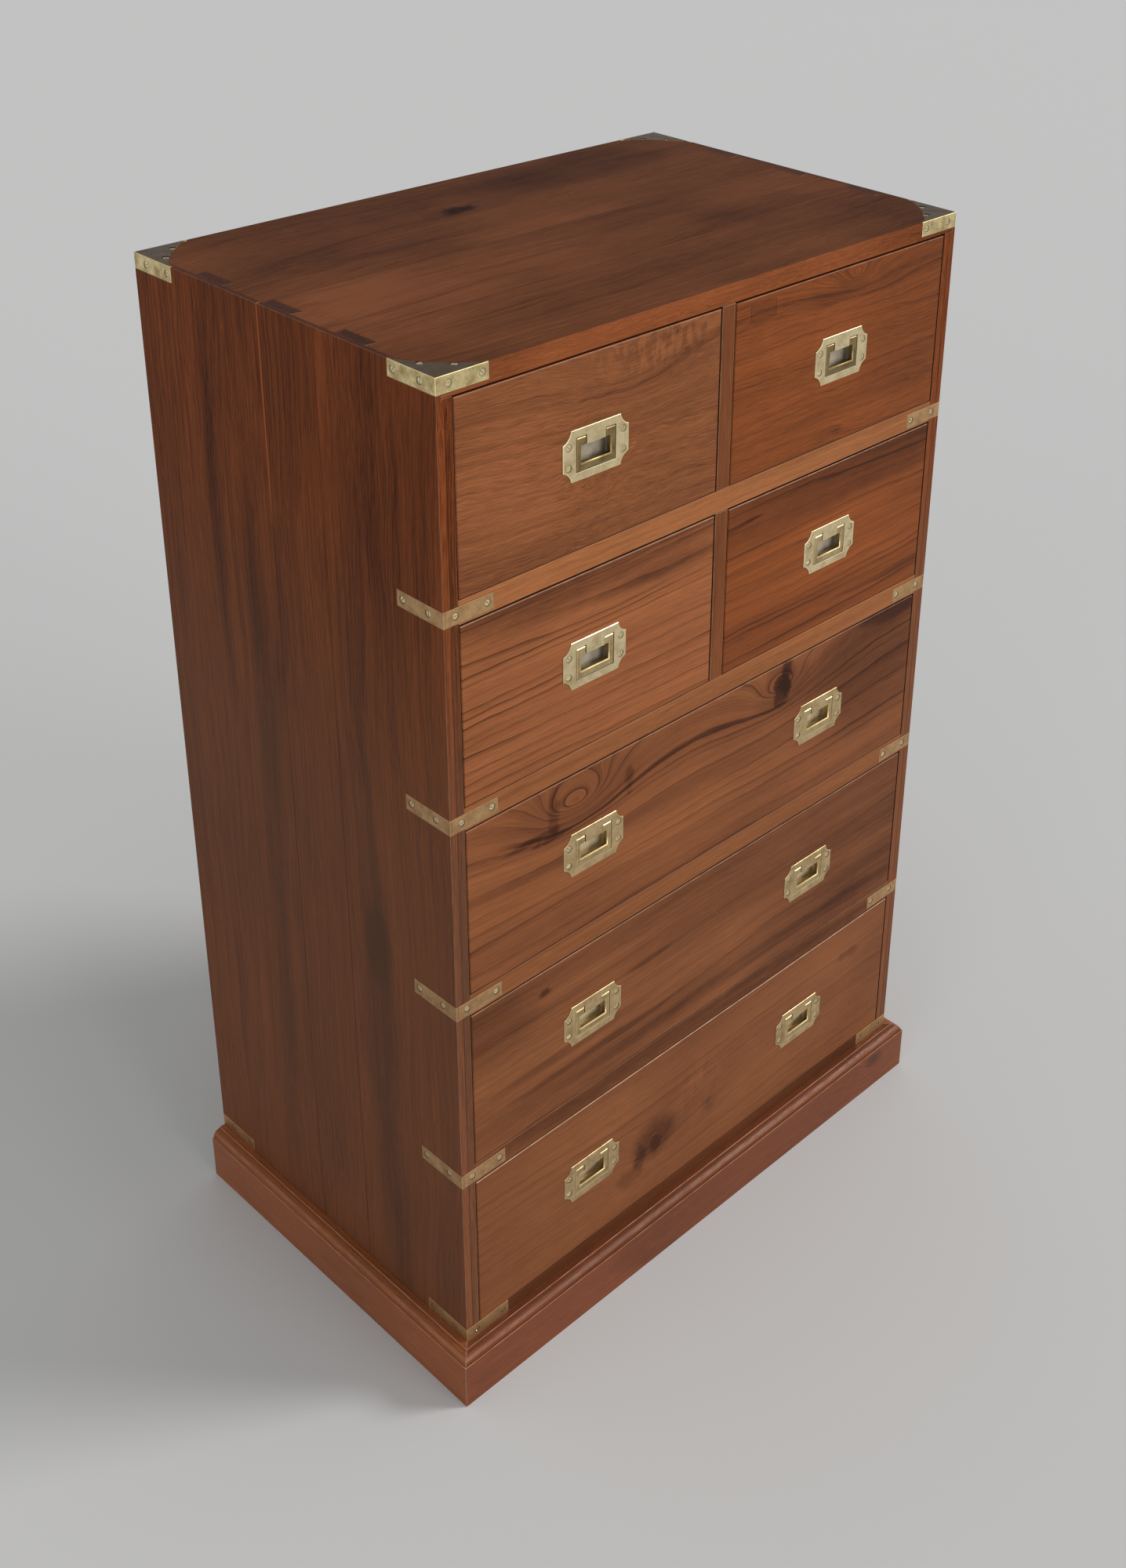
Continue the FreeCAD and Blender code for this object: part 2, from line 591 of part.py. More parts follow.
stops = []
for name, row, (opening_x, opening_width_text), handles in DRAWERS:
    opening = "base_row_opening" if row == BASE_ROW else "row_opening"
    left_x = f"{opening_x} + drawer_side_gap"
    width = f"({opening_width_text} - 2 * drawer_side_gap)"
    floor = f"({row}_row_floor + drawer_floor_gap)"
    height = f"({opening} - drawer_top_gap - drawer_floor_gap)"
    wall_height = f"({height} - drawer_wall_drop)"
    handle_z = f"{row}_row_floor + {opening} / 2"
    shell_y = "front_y + drawer_front_thickness"
    panel_z = f"{floor} + drawer_bottom_rise"

    plates = []
    seats = []
    for hand, x in handles.items():
        corner = (x, "front_y - plate_proud", handle_z)
        plates.append(copied(f"{name}_{hand}plate", handle_plate, corner))
        seats.append(copied(f"{name}_{hand}plate_seat", handle_blank, corner))
        keep(f"{name}_{hand}bail", copied(f"{name}_{hand}bail", bail, corner))
    keep(f"{name}_drawer_plates", group(f"{name}_drawer_plates", plates))

    inner_width = f"({width} - 2 * drawer_wall + 2 * groove_depth)"
    inner_x = f"{left_x} + drawer_wall - groove_depth"
    panel = block(f"{name}_panel", (inner_x, f"{shell_y} - groove_depth", panel_z),
                  (inner_width, "drawer_depth - drawer_front_thickness + groove_depth", "drawer_bottom_thickness"))
    keep(f"{name}_drawer_bottom", panel)

    back_z = f"{panel_z} + drawer_bottom_thickness"
    back_height = f"{wall_height} - drawer_bottom_rise - drawer_bottom_thickness - drawer_back_drop"
    back = block(f"{name}_back", (inner_x, "front_y + drawer_depth - 2 * drawer_wall", back_z),
                 (inner_width, "drawer_wall", back_height))

    walls = []
    tails = []
    for hand, x in (("left", left_x), ("right", f"{left_x} + {width} - drawer_wall")):
        wall_name = f"{name}_{hand}_wall"
        board = block(f"{wall_name}_board", (x, shell_y, floor),
                      ("drawer_wall", "drawer_depth - drawer_front_thickness", wall_height))
        wall_tails = drawer_tails(wall_name, x, floor, wall_height)
        tails += wall_tails
        walls.append(fitted(wall_name, joined(f"{wall_name}_blank", [board] + wall_tails), [panel, back]))
    keep(f"{name}_drawer_box", group(f"{name}_drawer_box", walls + [back]))

    face = eased_front(f"{name}_face", width, height)
    place(face, (left_x, "front_y", floor))
    sockets = group(f"{name}_sockets", tails)
    inlets = group(f"{name}_inlets", seats)
    keep(f"{name}_drawer_front", fitted(f"{name}_drawer_front", face, [sockets, panel, inlets]))

    stop_extent = ("stop_length", "stop_width", "stop_height")
    right_stop_x = f"{opening_x} + {opening_width_text} - stop_inset - stop_length"
    for hand, x in (("left", f"{opening_x} + stop_inset"), ("right", right_stop_x)):
        stops.append(block(f"{name}_{hand}_stop", (x, shell_y, f"{row}_row_floor"), stop_extent))
keep("drawer_stops", group("drawer_stops", stops))

doc.recompute()
for item in doc.Objects:
    if {"Invalid", "Error"} & set(item.State):
        raise RuntimeError(f"{item.Label} did not build: {item.State}")
shapes = {item.Label: Part.getShape(item) for item in subparts}
for label, shape in shapes.items():
    if shape.isNull() or not shape.isValid() or not shape.Solids:
        raise RuntimeError(f"{label} has no sound shape")

os.makedirs("parts", exist_ok=True)
for label, shape in shapes.items():
    shape.exportStep(f"parts/{label}.step")
    box = shape.BoundBox
    low = f"{box.XMin:.1f} {box.YMin:.1f} {box.ZMin:.1f}"
    high = f"{box.XMax:.1f} {box.YMax:.1f} {box.ZMax:.1f}"
    print(f"{label}: {len(shape.Solids)} solids, {shape.Volume / 1000:.1f} cm3, {low} to {high}")
print(len(shapes), "sub-parts")
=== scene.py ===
# %% [markdown]
# A campaign chest of drawers in teak and brass, dressed for its picture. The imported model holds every
# solid at its true size, in metres, on the body that moves it. Nothing here moves a solid: pieces
# that need softer edges are copied and the copy stands for the solid, and the rest only gets a better
# finish.

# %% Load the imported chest
import math
from collections import namedtuple

import bmesh
import bpy
from mathutils import Matrix, Vector


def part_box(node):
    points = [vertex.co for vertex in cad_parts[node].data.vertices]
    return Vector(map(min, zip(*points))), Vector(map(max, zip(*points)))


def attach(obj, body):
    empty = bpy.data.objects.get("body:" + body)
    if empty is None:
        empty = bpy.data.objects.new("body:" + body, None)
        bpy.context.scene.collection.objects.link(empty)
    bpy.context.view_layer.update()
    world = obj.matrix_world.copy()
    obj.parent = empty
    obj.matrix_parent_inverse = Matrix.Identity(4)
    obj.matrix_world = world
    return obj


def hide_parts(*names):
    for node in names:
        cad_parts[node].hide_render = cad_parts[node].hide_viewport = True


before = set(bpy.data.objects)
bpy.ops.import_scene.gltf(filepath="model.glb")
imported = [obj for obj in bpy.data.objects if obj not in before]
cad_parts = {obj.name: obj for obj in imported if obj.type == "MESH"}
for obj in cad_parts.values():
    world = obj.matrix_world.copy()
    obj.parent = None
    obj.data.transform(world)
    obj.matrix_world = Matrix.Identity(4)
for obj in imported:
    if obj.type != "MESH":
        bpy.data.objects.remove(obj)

scene = bpy.context.scene
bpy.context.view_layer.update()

# %% [markdown]
# The camera stands at the left front corner, a little above the top, and looks down along both faces.
# Its place, turn and lens were solved from the edges of the chest. A camera can also be set by hand
# over a background picture, but a solved one keeps every edge where it belongs.

# %% Camera
CAMERA_PLACE = (-1.2322, -1.3104, 1.6954)
CAMERA_LOOK = (0.66028, 0.61672, -0.42858)
CAMERA_RIGHT = (0.69095, -0.72247, 0.02487)
CAMERA_SENSOR = 36
CAMERA_LENS = 43.07
CAMERA_SHIFT = (-0.076, -0.175)
CAMERA_REACH = 200
camera_data = bpy.data.cameras.new("camera")
camera_data.sensor_width = CAMERA_SENSOR
camera_data.lens = CAMERA_LENS
camera_data.shift_x, camera_data.shift_y = CAMERA_SHIFT
camera_data.clip_end = CAMERA_REACH
camera = bpy.data.objects.new("camera", camera_data)
look = Vector(CAMERA_LOOK).normalized()
right = Vector(CAMERA_RIGHT).normalized()
turn = Matrix((right, right.cross(look).normalized(), -look)).transposed()
camera.matrix_world = Matrix.Translation(CAMERA_PLACE) @ turn.to_4x4()
scene.collection.objects.link(camera)
scene.camera = camera
scene.view_settings.view_transform = "Standard"
print("camera at", CAMERA_PLACE, "lens", camera_data.lens)

# %% [markdown]
# The studio is one pale floor under a pale sky of the same brightness, so that no horizon shows. The
# floor is one flat face, so large that its edge is never in the picture.

# %% Floor and sky
FLOOR_REACH = 60.0
FLOOR_ROUGH = 0.9


def pictured(red, green, blue):
    """A colour as a picture shows it, from 0 to 255, in the light that a shader works with."""
    def light(level):
        share = level / 255
        return share / 12.92 if share <= 0.04045 else ((share + 0.055) / 1.055) ** 2.4
    return (light(red), light(green), light(blue), 1.0)


def new_object(name, shape):
    """A mesh object at the origin, with its place in its mesh."""
    mesh = bpy.data.meshes.new(name)
    shape.to_mesh(mesh)
    shape.free()
    item = bpy.data.objects.new(name, mesh)
    scene.collection.objects.link(item)
    return item


floor_shape = bmesh.new()
bmesh.ops.create_grid(floor_shape, x_segments=1, y_segments=1, size=FLOOR_REACH)
floor = new_object("floor", floor_shape)
floor_finish = bpy.data.materials.new("floor_finish")
floor_finish.use_nodes = True
floor_shader = floor_finish.node_tree.nodes["Principled BSDF"]
floor_shader.inputs["Base Color"].default_value = pictured(203, 202, 200)
floor_shader.inputs["Roughness"].default_value = FLOOR_ROUGH
floor.data.materials.append(floor_finish)

world = bpy.data.worlds.new("studio")
world.use_nodes = True
scene.world = world
sky = world.node_tree.nodes["Background"]
sky.inputs["Color"].default_value = pictured(184, 186, 188)
sky.inputs["Strength"].default_value = 1.0
print("floor and sky set")

# %% [markdown]
# Soft suns stand for tall windows: the key comes from the right and above and draws the upper edges
# of the drawers, a broad one faces the fronts, and a weak one reaches the left side. A sun lights
# near and far alike, so the floor stays plain, where a lamp would leave a bright pool.

# %% Suns
# Each sun has a name, the way towards it, a level, where 1 is full white, and a spread in degrees.
SUNS = (("key_sun", (0.64, -0.52, 0.57), 0.5, 18),
        ("front_sun", (0.1, -0.95, 0.3), 0.3, 35),
        ("side_sun", (-0.9, -0.35, 0.3), 0.1, 35))
for name, towards, level, spread in SUNS:
    sun_data = bpy.data.lights.new(name, "SUN")
    sun_data.energy = level * math.pi
    sun_data.angle = math.radians(spread)
    sun = bpy.data.objects.new(name, sun_data)
    sun.rotation_euler = Vector(towards).to_track_quat("Z", "Y").to_euler()
    scene.collection.objects.link(sun)
print(len(SUNS), "suns set")

# %% [markdown]
# Old teak is a solid, so its figure is worked out in space, not painted on. A board is a slice out of
# a trunk: growth rings run round a pith line and bulge round each knot, and every face shows its own
# cut through them, stripes on the face, lines on the edge and arcs on the end. The class below only
# shortens the writing of the nodes that this takes.

# %% A short way to write finishes
# A Mix node also has sockets for numbers and vectors. These are its share and its colours.
MIX_INPUTS = (0, 6, 7)
MIX_OUTPUT = 2
NOISE_MIDDLE = 0.5


class Finish:
    """A material in the making, with one Principled shader and short calls for its other nodes."""

    def __init__(self, name):
        self.material = bpy.data.materials.new(name)
        self.material.use_nodes = True
        self.tree = self.material.node_tree
        self.tree.nodes.clear()
        self.shader = self.node("BsdfPrincipled")
        self.node("OutputMaterial", Surface=self.shader.outputs["BSDF"])
        places = self.node("TexCoord")
        self.point = places.outputs["Object"]
        self.facing = places.outputs["Normal"]

    def feed(self, socket, value):
        """Link a socket, or set it where the value is fixed."""
        if isinstance(value, bpy.types.NodeSocket):
            self.tree.links.new(value, socket)
        else:
            socket.default_value = value

    def node(self, kind, *values, **named):
        """A new node with its sockets fed, in their order or by name."""
        node = self.tree.nodes.new("ShaderNode" + kind)
        for socket, value in zip(node.inputs, values):
            self.feed(socket, value)
        for name, value in named.items():
            self.feed(node.inputs[name], value)
        return node

    def sum(self, operation, first, second=0.0, third=0.0):
        """One Math node."""
        node = self.node("Math", first, second, third)
        node.operation = operation
        return node.outputs[0]

    def added(self, value, mark, amount):
        """A value with some amount of a mark added to it."""
        return self.sum("MULTIPLY_ADD", mark, amount, value)

    def nudged(self, value, noise, reach):
        """A value that noise moves up or down by a reach at most."""
        return self.added(value, self.sum("SUBTRACT", noise, NOISE_MIDDLE), reach * 2)

    def split(self, vector):
        """The three parts of a vector."""
        return self.node("SeparateXYZ", vector).outputs

    def vector(self, x, y, z):
        """Three values as one vector."""
        return self.node("CombineXYZ", x, y, z).outputs[0]

    def stretched(self, vector, scale, shift=(0.0, 0.0, 0.0)):
        """A vector scaled apart on its three axes and moved."""
        return self.node("Mapping", Vector=vector, Scale=scale, Location=shift).outputs[0]

    def noise(self, vector, scale=1.0, detail=2.0, roughness=0.5, channel=0):
        """Soft noise from 0 to 1, or its colour where channel is 1."""
        node = self.node("TexNoise", Vector=vector, Scale=scale, Detail=detail, Roughness=roughness)
        return node.outputs[channel]

    def ramp(self, value, low, high, start=0.0, end=1.0):
        """A smooth step from one level to another between two values."""
        node = self.node("MapRange", value, low, high, start, end)
        node.interpolation_type = "SMOOTHSTEP"
        return node.outputs[0]

    def mix(self, share, first, second, blend="MIX"):
        """Two colours mixed by a share, or multiplied."""
        node = self.node("Mix")
        node.data_type = "RGBA"
        node.blend_type = blend
        for number, value in zip(MIX_INPUTS, (share, first, second)):
            self.feed(node.inputs[number], value)
        return node.outputs[MIX_OUTPUT]

    def attribute(self, name):
        """A number that the mesh carries on its faces, or 0."""
        node = self.node("Attribute")
        node.attribute_name = name
        return node.outputs["Fac"]

    def bump(self, height, strength, distance):
        """A relief for the shader's normal."""
        node = self.node("Bump", Strength=strength, Distance=distance, Height=height)
        self.feed(self.shader.inputs["Normal"], node.outputs[0])


print("finish helper ready")

# %% [markdown]
# Three marks come again and again: an oval for knots and stains, a hairline for joints and strong
# lines, and a band with soft ends. Each is a few Math nodes, so it can lie anywhere in the wood.

# %% Ovals, hairlines and bands
HAIRLINE_CORE = 0.4


def oval(finish, along, across, middle, half):
    """How far a point lies from an oval's middle, squared: 1 on its rim."""
    total = 0.0
    for value, centre, reach in zip((along, across), middle, half):
        off = finish.sum("DIVIDE", finish.sum("SUBTRACT", value, centre), reach)
        total = finish.added(total, off, off)
    return total


def hairline(finish, value, place, half):
    """1 on a thin line where a value passes a place, fading to 0 beside it."""
    off = finish.sum("ABSOLUTE", finish.sum("SUBTRACT", value, place))
    return finish.ramp(off, half * HAIRLINE_CORE, half, 1.0, 0.0)


def between(finish, value, low, high, fade):
    """1 between two places and 0 outside them, with soft ends."""
    return finish.sum("MULTIPLY", finish.ramp(value, low, low + fade),
                      finish.ramp(value, high - fade, high, 1.0, 0.0))


print("marks ready")

# %% [markdown]
# A wide board is glued up from planks. A point in it has a place along the grain, across it and in
# depth. At each joint a new plank starts in a far part of the trunk, so that the rings do not run on.

# %% Planks
AXES = "xyz"
PLANK_STEP = 0.73
JOINT_HALF = 0.0008
# A spot has places along and across the grain and in depth, its plank's start, and a vector.
Spot = namedtuple("Spot", "along across depth start place")


def planked(finish, board, joints, seed):
    """A point in a board, and how much of a glued joint lies there."""
    parts = dict(zip(AXES, finish.split(finish.point)))
    grain_axis, face_axis = board
    across = next(parts[axis] for axis in AXES if axis not in board)
    plank = 0.0
    seam = 0.0
    for joint in joints:
        plank = finish.sum("ADD", finish.sum("GREATER_THAN", across, joint), plank)
        seam = finish.sum("MAXIMUM", hairline(finish, across, joint, JOINT_HALF), seam)
    start = finish.sum("MULTIPLY_ADD", plank, PLANK_STEP, seed)
    depth = parts[face_axis]
    place = finish.vector(parts[grain_axis], across, finish.sum("ADD", depth, start))
    return Spot(parts[grain_axis], across, depth, start, place), seam


print("planks ready")

# %% [markdown]
# First the growth. A point is pushed about by slow noise, so that no line is ruler straight, and away
# from each knot, so that the lines flow round it like water round a stone.

# %% Wandering grain
SLOW_WAVES = (1.8, 5.0, 5.0)
QUICK_WAVES = (16.0, 40.0, 40.0)
DEPTH_WANDER = 0.6
KNOT_LENGTH = 2
HEART_RAGGED = 0.6
HEART_EDGE = (0.2, 1.2)
# The grain there has waves across, a push by knots, a depth, how near knots are, and their hearts.
Grain = namedtuple("Grain", "wavy moved deep near hearts")


def pushed(finish, spot, wander, wobble, knots):
    """Where a point comes to lie, and the knots beside it."""
    slow = finish.split(finish.noise(finish.stretched(spot.place, SLOW_WAVES), channel=1))
    quick = finish.split(finish.noise(finish.stretched(spot.place, QUICK_WAVES), channel=1))
    wavy = finish.nudged(spot.across, slow[0], wander)
    wavy = finish.nudged(wavy, quick[0], wobble)
    deep = finish.nudged(spot.depth, slow[1], wander * DEPTH_WANDER)
    moved = wavy
    near = 0.0
    hearts = 0.0
    for along, across, size, push, heart in knots:
        far = oval(finish, spot.along, wavy, (along, across), (size * KNOT_LENGTH, size))
        slope = finish.sum("ADD", finish.sum("ADD", far, finish.sum("SQRT", far)), 1.0)
        swell = finish.sum("DIVIDE", 1.0, slope)
        moved = finish.added(moved, swell, push)
        near = finish.sum("MAXIMUM", near, swell)
        ragged = finish.added(far, quick[2], HEART_RAGGED)
        hearts = finish.sum("ADD", hearts, finish.ramp(ragged, *HEART_EDGE, heart, 0.0))
    return Grain(wavy, moved, deep, near, hearts)


print("grain ready")

# %% [markdown]
# Then the rings. The distance of the pushed point from the pith gives thin dark lines of late wood
# and broad bands. Noise spreads the rings unevenly and makes some lines strong and others faint, and
# all are stronger near a knot. A ridge is one line that stands out from the rest.

# %% Growth rings
RIDGE_FADE = 0.05
RING_DRIFT = 0.03
UNEVEN_SCALE = 0.32
UNEVEN_RINGS = 5.0
LATE_POWER = 5.0
LATE_END = (0.94, 1.0, 1.0, 0.0)
STRENGTH_ALONG = 2.5
STRENGTH_ACROSS = 0.7
STRENGTH_STEP = (0.32, 0.68, 0.1, 1.6)
KNOT_STRENGTH = 0.8
BAND_SCALE = 0.55
BAND_NOISE = (4.0, 0.65)
BAND_STEP = (0.3, 0.72)


def ring_tone(finish, spot, grain, rings, line, band, pith, ridges):
    """How dark knots, ridges, ring lines and bands make the wood at a point."""
    tone = grain.hearts
    for level, half, low, high, amount in ridges:
        stroke = finish.sum("MULTIPLY", hairline(finish, grain.moved, level, half), amount)
        tone = finish.added(tone, stroke, between(finish, spot.along, low, high, RIDGE_FADE))
    off_across = finish.sum("SUBTRACT", grain.moved, pith[0])
    off_depth = finish.sum("SUBTRACT", grain.deep, pith[1])
    squared_depth = finish.sum("MULTIPLY", off_depth, off_depth)
    ring = finish.sum("SQRT", finish.added(squared_depth, off_across, off_across))
    ring_place = finish.vector(finish.sum("MULTIPLY", spot.along, RING_DRIFT), ring, spot.start)
    uneven = finish.noise(ring_place, rings * UNEVEN_SCALE)
    phase = finish.added(finish.sum("MULTIPLY", uneven, UNEVEN_RINGS), ring, rings)
    step = finish.sum("FRACT", phase)
    late = finish.sum("MULTIPLY", finish.sum("POWER", step, LATE_POWER), finish.ramp(step, *LATE_END))
    strength_place = finish.vector(finish.sum("MULTIPLY", spot.along, STRENGTH_ALONG),
                                   finish.sum("MULTIPLY", ring, rings * STRENGTH_ACROSS), spot.start)
    strength = finish.ramp(finish.noise(strength_place), *STRENGTH_STEP)
    strength = finish.sum("MULTIPLY", strength, finish.added(1.0, grain.near, KNOT_STRENGTH))
    tone = finish.added(tone, finish.sum("MULTIPLY", late, strength), line)
    bands = finish.ramp(finish.noise(ring_place, rings * BAND_SCALE, *BAND_NOISE), *BAND_STEP)
    return finish.added(tone, bands, band)


print("growth rings ready")

# %% [markdown]
# Some marks lie at one place only. Stains darken or bleach an oval with frayed ends, and ripples are
# the shimmer of wavy fibres. A patch is a small block let into the face with a thin seam round it,
# and a lip is the outer skin of a side, whose edge shows as a strip of another tone.

# %% Stains, ripples, lips and patches
HALF_WIDTH = -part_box("left_side")[0].x
LIP_DEPTH = 0.0085
LIP = HALF_WIDTH - LIP_DEPTH
SPOT_REACH = 0.035
SPOT_RAGGED = 3.0
STREAK_RAGGED = 0.4
STAIN_FRAYED = 0.8
STAIN_EDGE = (0.0, 1.3)
RIPPLES = (150.0, 45.0, 45.0)
RIPPLE_STEP = (0.35, 0.65, -1.0, 0.1)
PATCH_SHARE = 0.2
PATCH_RIM = 0.001


def stained(finish, spot, grain, fibres, rough, tone, stains):
    """The tone with stains in it, the small ones more ragged than the long ones."""
    for along, across, half_along, half_across, amount in stains:
        far = oval(finish, spot.along, grain.wavy, (along, across), (half_along, half_across))
        far = finish.nudged(far, fibres, STAIN_FRAYED)
        far = finish.added(far, rough, SPOT_RAGGED if half_along < SPOT_REACH else STREAK_RAGGED)
        tone = finish.sum("ADD", tone, finish.ramp(far, *STAIN_EDGE, amount, 0.0))
    return tone


def rippled(finish, spot, grain, flow, tone, ripple):
    """The tone with an oval of pale ripples in it."""
    along, across, half_along, half_across, amount = ripple
    waves = finish.ramp(finish.noise(finish.stretched(flow, RIPPLES)), *RIPPLE_STEP)
    far = oval(finish, spot.along, grain.wavy, (along, across), (half_along, half_across))
    return finish.added(tone, waves, finish.ramp(far, *STAIN_EDGE, amount, 0.0))


def lipped(finish, spot, tone, seam, lip):
    """The tone and the seams of a side whose wood changes behind its outer skin."""
    inner = finish.sum("ABSOLUTE", spot.depth)
    tone = finish.added(tone, finish.sum("LESS_THAN", inner, LIP), lip)
    return tone, finish.sum("MAXIMUM", hairline(finish, inner, LIP, JOINT_HALF), seam)


def patched(finish, spot, tone, seam, patch):
    """The tone and the seams of a board with a patch in it."""
    left, low, right, high = patch
    inside, around = (
        finish.sum("MULTIPLY", between(finish, spot.along, left - rim, right + rim, JOINT_HALF),
                   between(finish, spot.across, low - rim, high + rim, JOINT_HALF))
        for rim in (0.0, PATCH_RIM))
    tone = finish.added(tone, inside, PATCH_SHARE)
    return tone, finish.sum("MAXIMUM", finish.sum("SUBTRACT", around, inside), seam)


print("placed marks ready, lip at", round(LIP, 4))

# %% [markdown]
# The tone picks the colour. Between 0 and 1 it goes from the light colour to the dark one, below that
# the wood gets paler still, and above it darker. End grain drinks the polish and goes dark, a seam is
# a dark line, and pale glue may have squeezed out of it.

# %% Colour of the wood
PALE_STEP = (-0.6, 0.1, 0.9, 0.0)
PALE_SHADE = 1.5
DEEP_STEP = (0.9, 1.8, 0.0, 0.8)
DEEP_SHADE = 0.3
END_STEP = (0.8, 0.95, 0.0, 0.75)
END_SHADE = 0.8
TOP_SHADE_STEP = (0.5, 0.95)
SEAM_SHARE = 0.5
SEAM_SHADE = 0.4
GLUE_HALF = 0.0014
GLUE_SHARE = 0.8
GLUE_SHADE = 2.2


def shaded(colour, share):
    """A colour made lighter or darker by a share."""
    return tuple(min(1.0, part * share) for part in colour[:3]) + (1.0,)


def wood_colour(finish, board, spot, tone, seam, light, dark, sheen, top_shade, glue):
    """The colour of clean wood at a point, with a painted sheen and a painted top shade where asked."""
    share = finish.sum("MINIMUM", finish.sum("MAXIMUM", tone, 0.0), 1.0)
    colour = finish.mix(share, light, dark)
    colour = finish.mix(finish.ramp(tone, *PALE_STEP), colour, shaded(light, PALE_SHADE))
    colour = finish.mix(finish.ramp(tone, *DEEP_STEP), colour, shaded(dark, DEEP_SHADE))
    facing = dict(zip(AXES, finish.split(finish.facing)))
    ends = finish.sum("ABSOLUTE", facing[board[0]])
    colour = finish.mix(finish.ramp(ends, *END_STEP), colour, shaded(dark, END_SHADE))
    # A painted sheen of reflected light: full at one place along the grain and fading out by another.
    if sheen:
        sheen_colour, full, none, most = sheen
        colour = finish.mix(finish.ramp(spot.along, full, none, most, 0.0), colour, sheen_colour)
    # Faces that look up are multiplied darker and cooler: a painted shade.
    if top_shade:
        colour = finish.mix(finish.ramp(facing["z"], *TOP_SHADE_STEP), colour, top_shade, "MULTIPLY")
    colour = finish.mix(finish.sum("MULTIPLY", seam, SEAM_SHARE), colour, shaded(dark, SEAM_SHADE))
    if glue:
        joint, low, high = glue
        bead = finish.sum("MULTIPLY", hairline(finish, spot.across, joint, GLUE_HALF),
                          finish.ramp(spot.along, low, high, 0.0, GLUE_SHARE))
        colour = finish.mix(bead, colour, shaded(light, GLUE_SHADE))
    return colour


print("wood colours ready")

# %% [markdown]
# Now a whole board. To the rings it adds fibres, which are noise drawn out along the grain, pores,
# which are teak's short dark and pale dashes, and slow clouds where sun and polish took unevenly.
# Broken edges are painted paler, for wear and as a painted highlight, and faces that look into
# a gap are darker, a painted shade: both are read from marks on the mesh.

# %% Teak
EDGE_WEAR_AND_HIGHLIGHT = "edge_wear_and_highlight"
SHADE_AND_GRIME = "shade_and_grime"
# A noise has a scale, a detail and a roughness. A step has two values, and may have the levels at them.
FIBRES = (4.0, 620.0, 620.0)
FIBRE_NOISE = (1.0, 4.0, 0.6)
FIBRE_STEP = (0.34, 0.66, -0.5, 0.5)
PORES = (45.0, 1500.0, 1500.0)
PORE_NOISE = (1.0, 1.0)
DARK_PORE_STEP = (0.57, 0.7)
PALE_PORE_STEP = (0.3, 0.42, -1.0, 0.0)
CLOUD_SCALE = 5.0
ROUGH_NOISE = (55.0, 3.0, 0.6)
# The pale edge colour stands for worn wood and for a painted highlight on lit edges.
PALE_EDGE_STEP = (-0.15, 0.15)
PALE_EDGE_LEAST = 0.5
WEAR_AND_HIGHLIGHT_WOOD = pictured(206, 172, 146)
PAINTED_SHADE_DARK = 0.25
FIBRE_ROUGH = 0.2
PORE_DEPTH = -0.8
WOOD_RELIEF = (0.25, 0.0004)


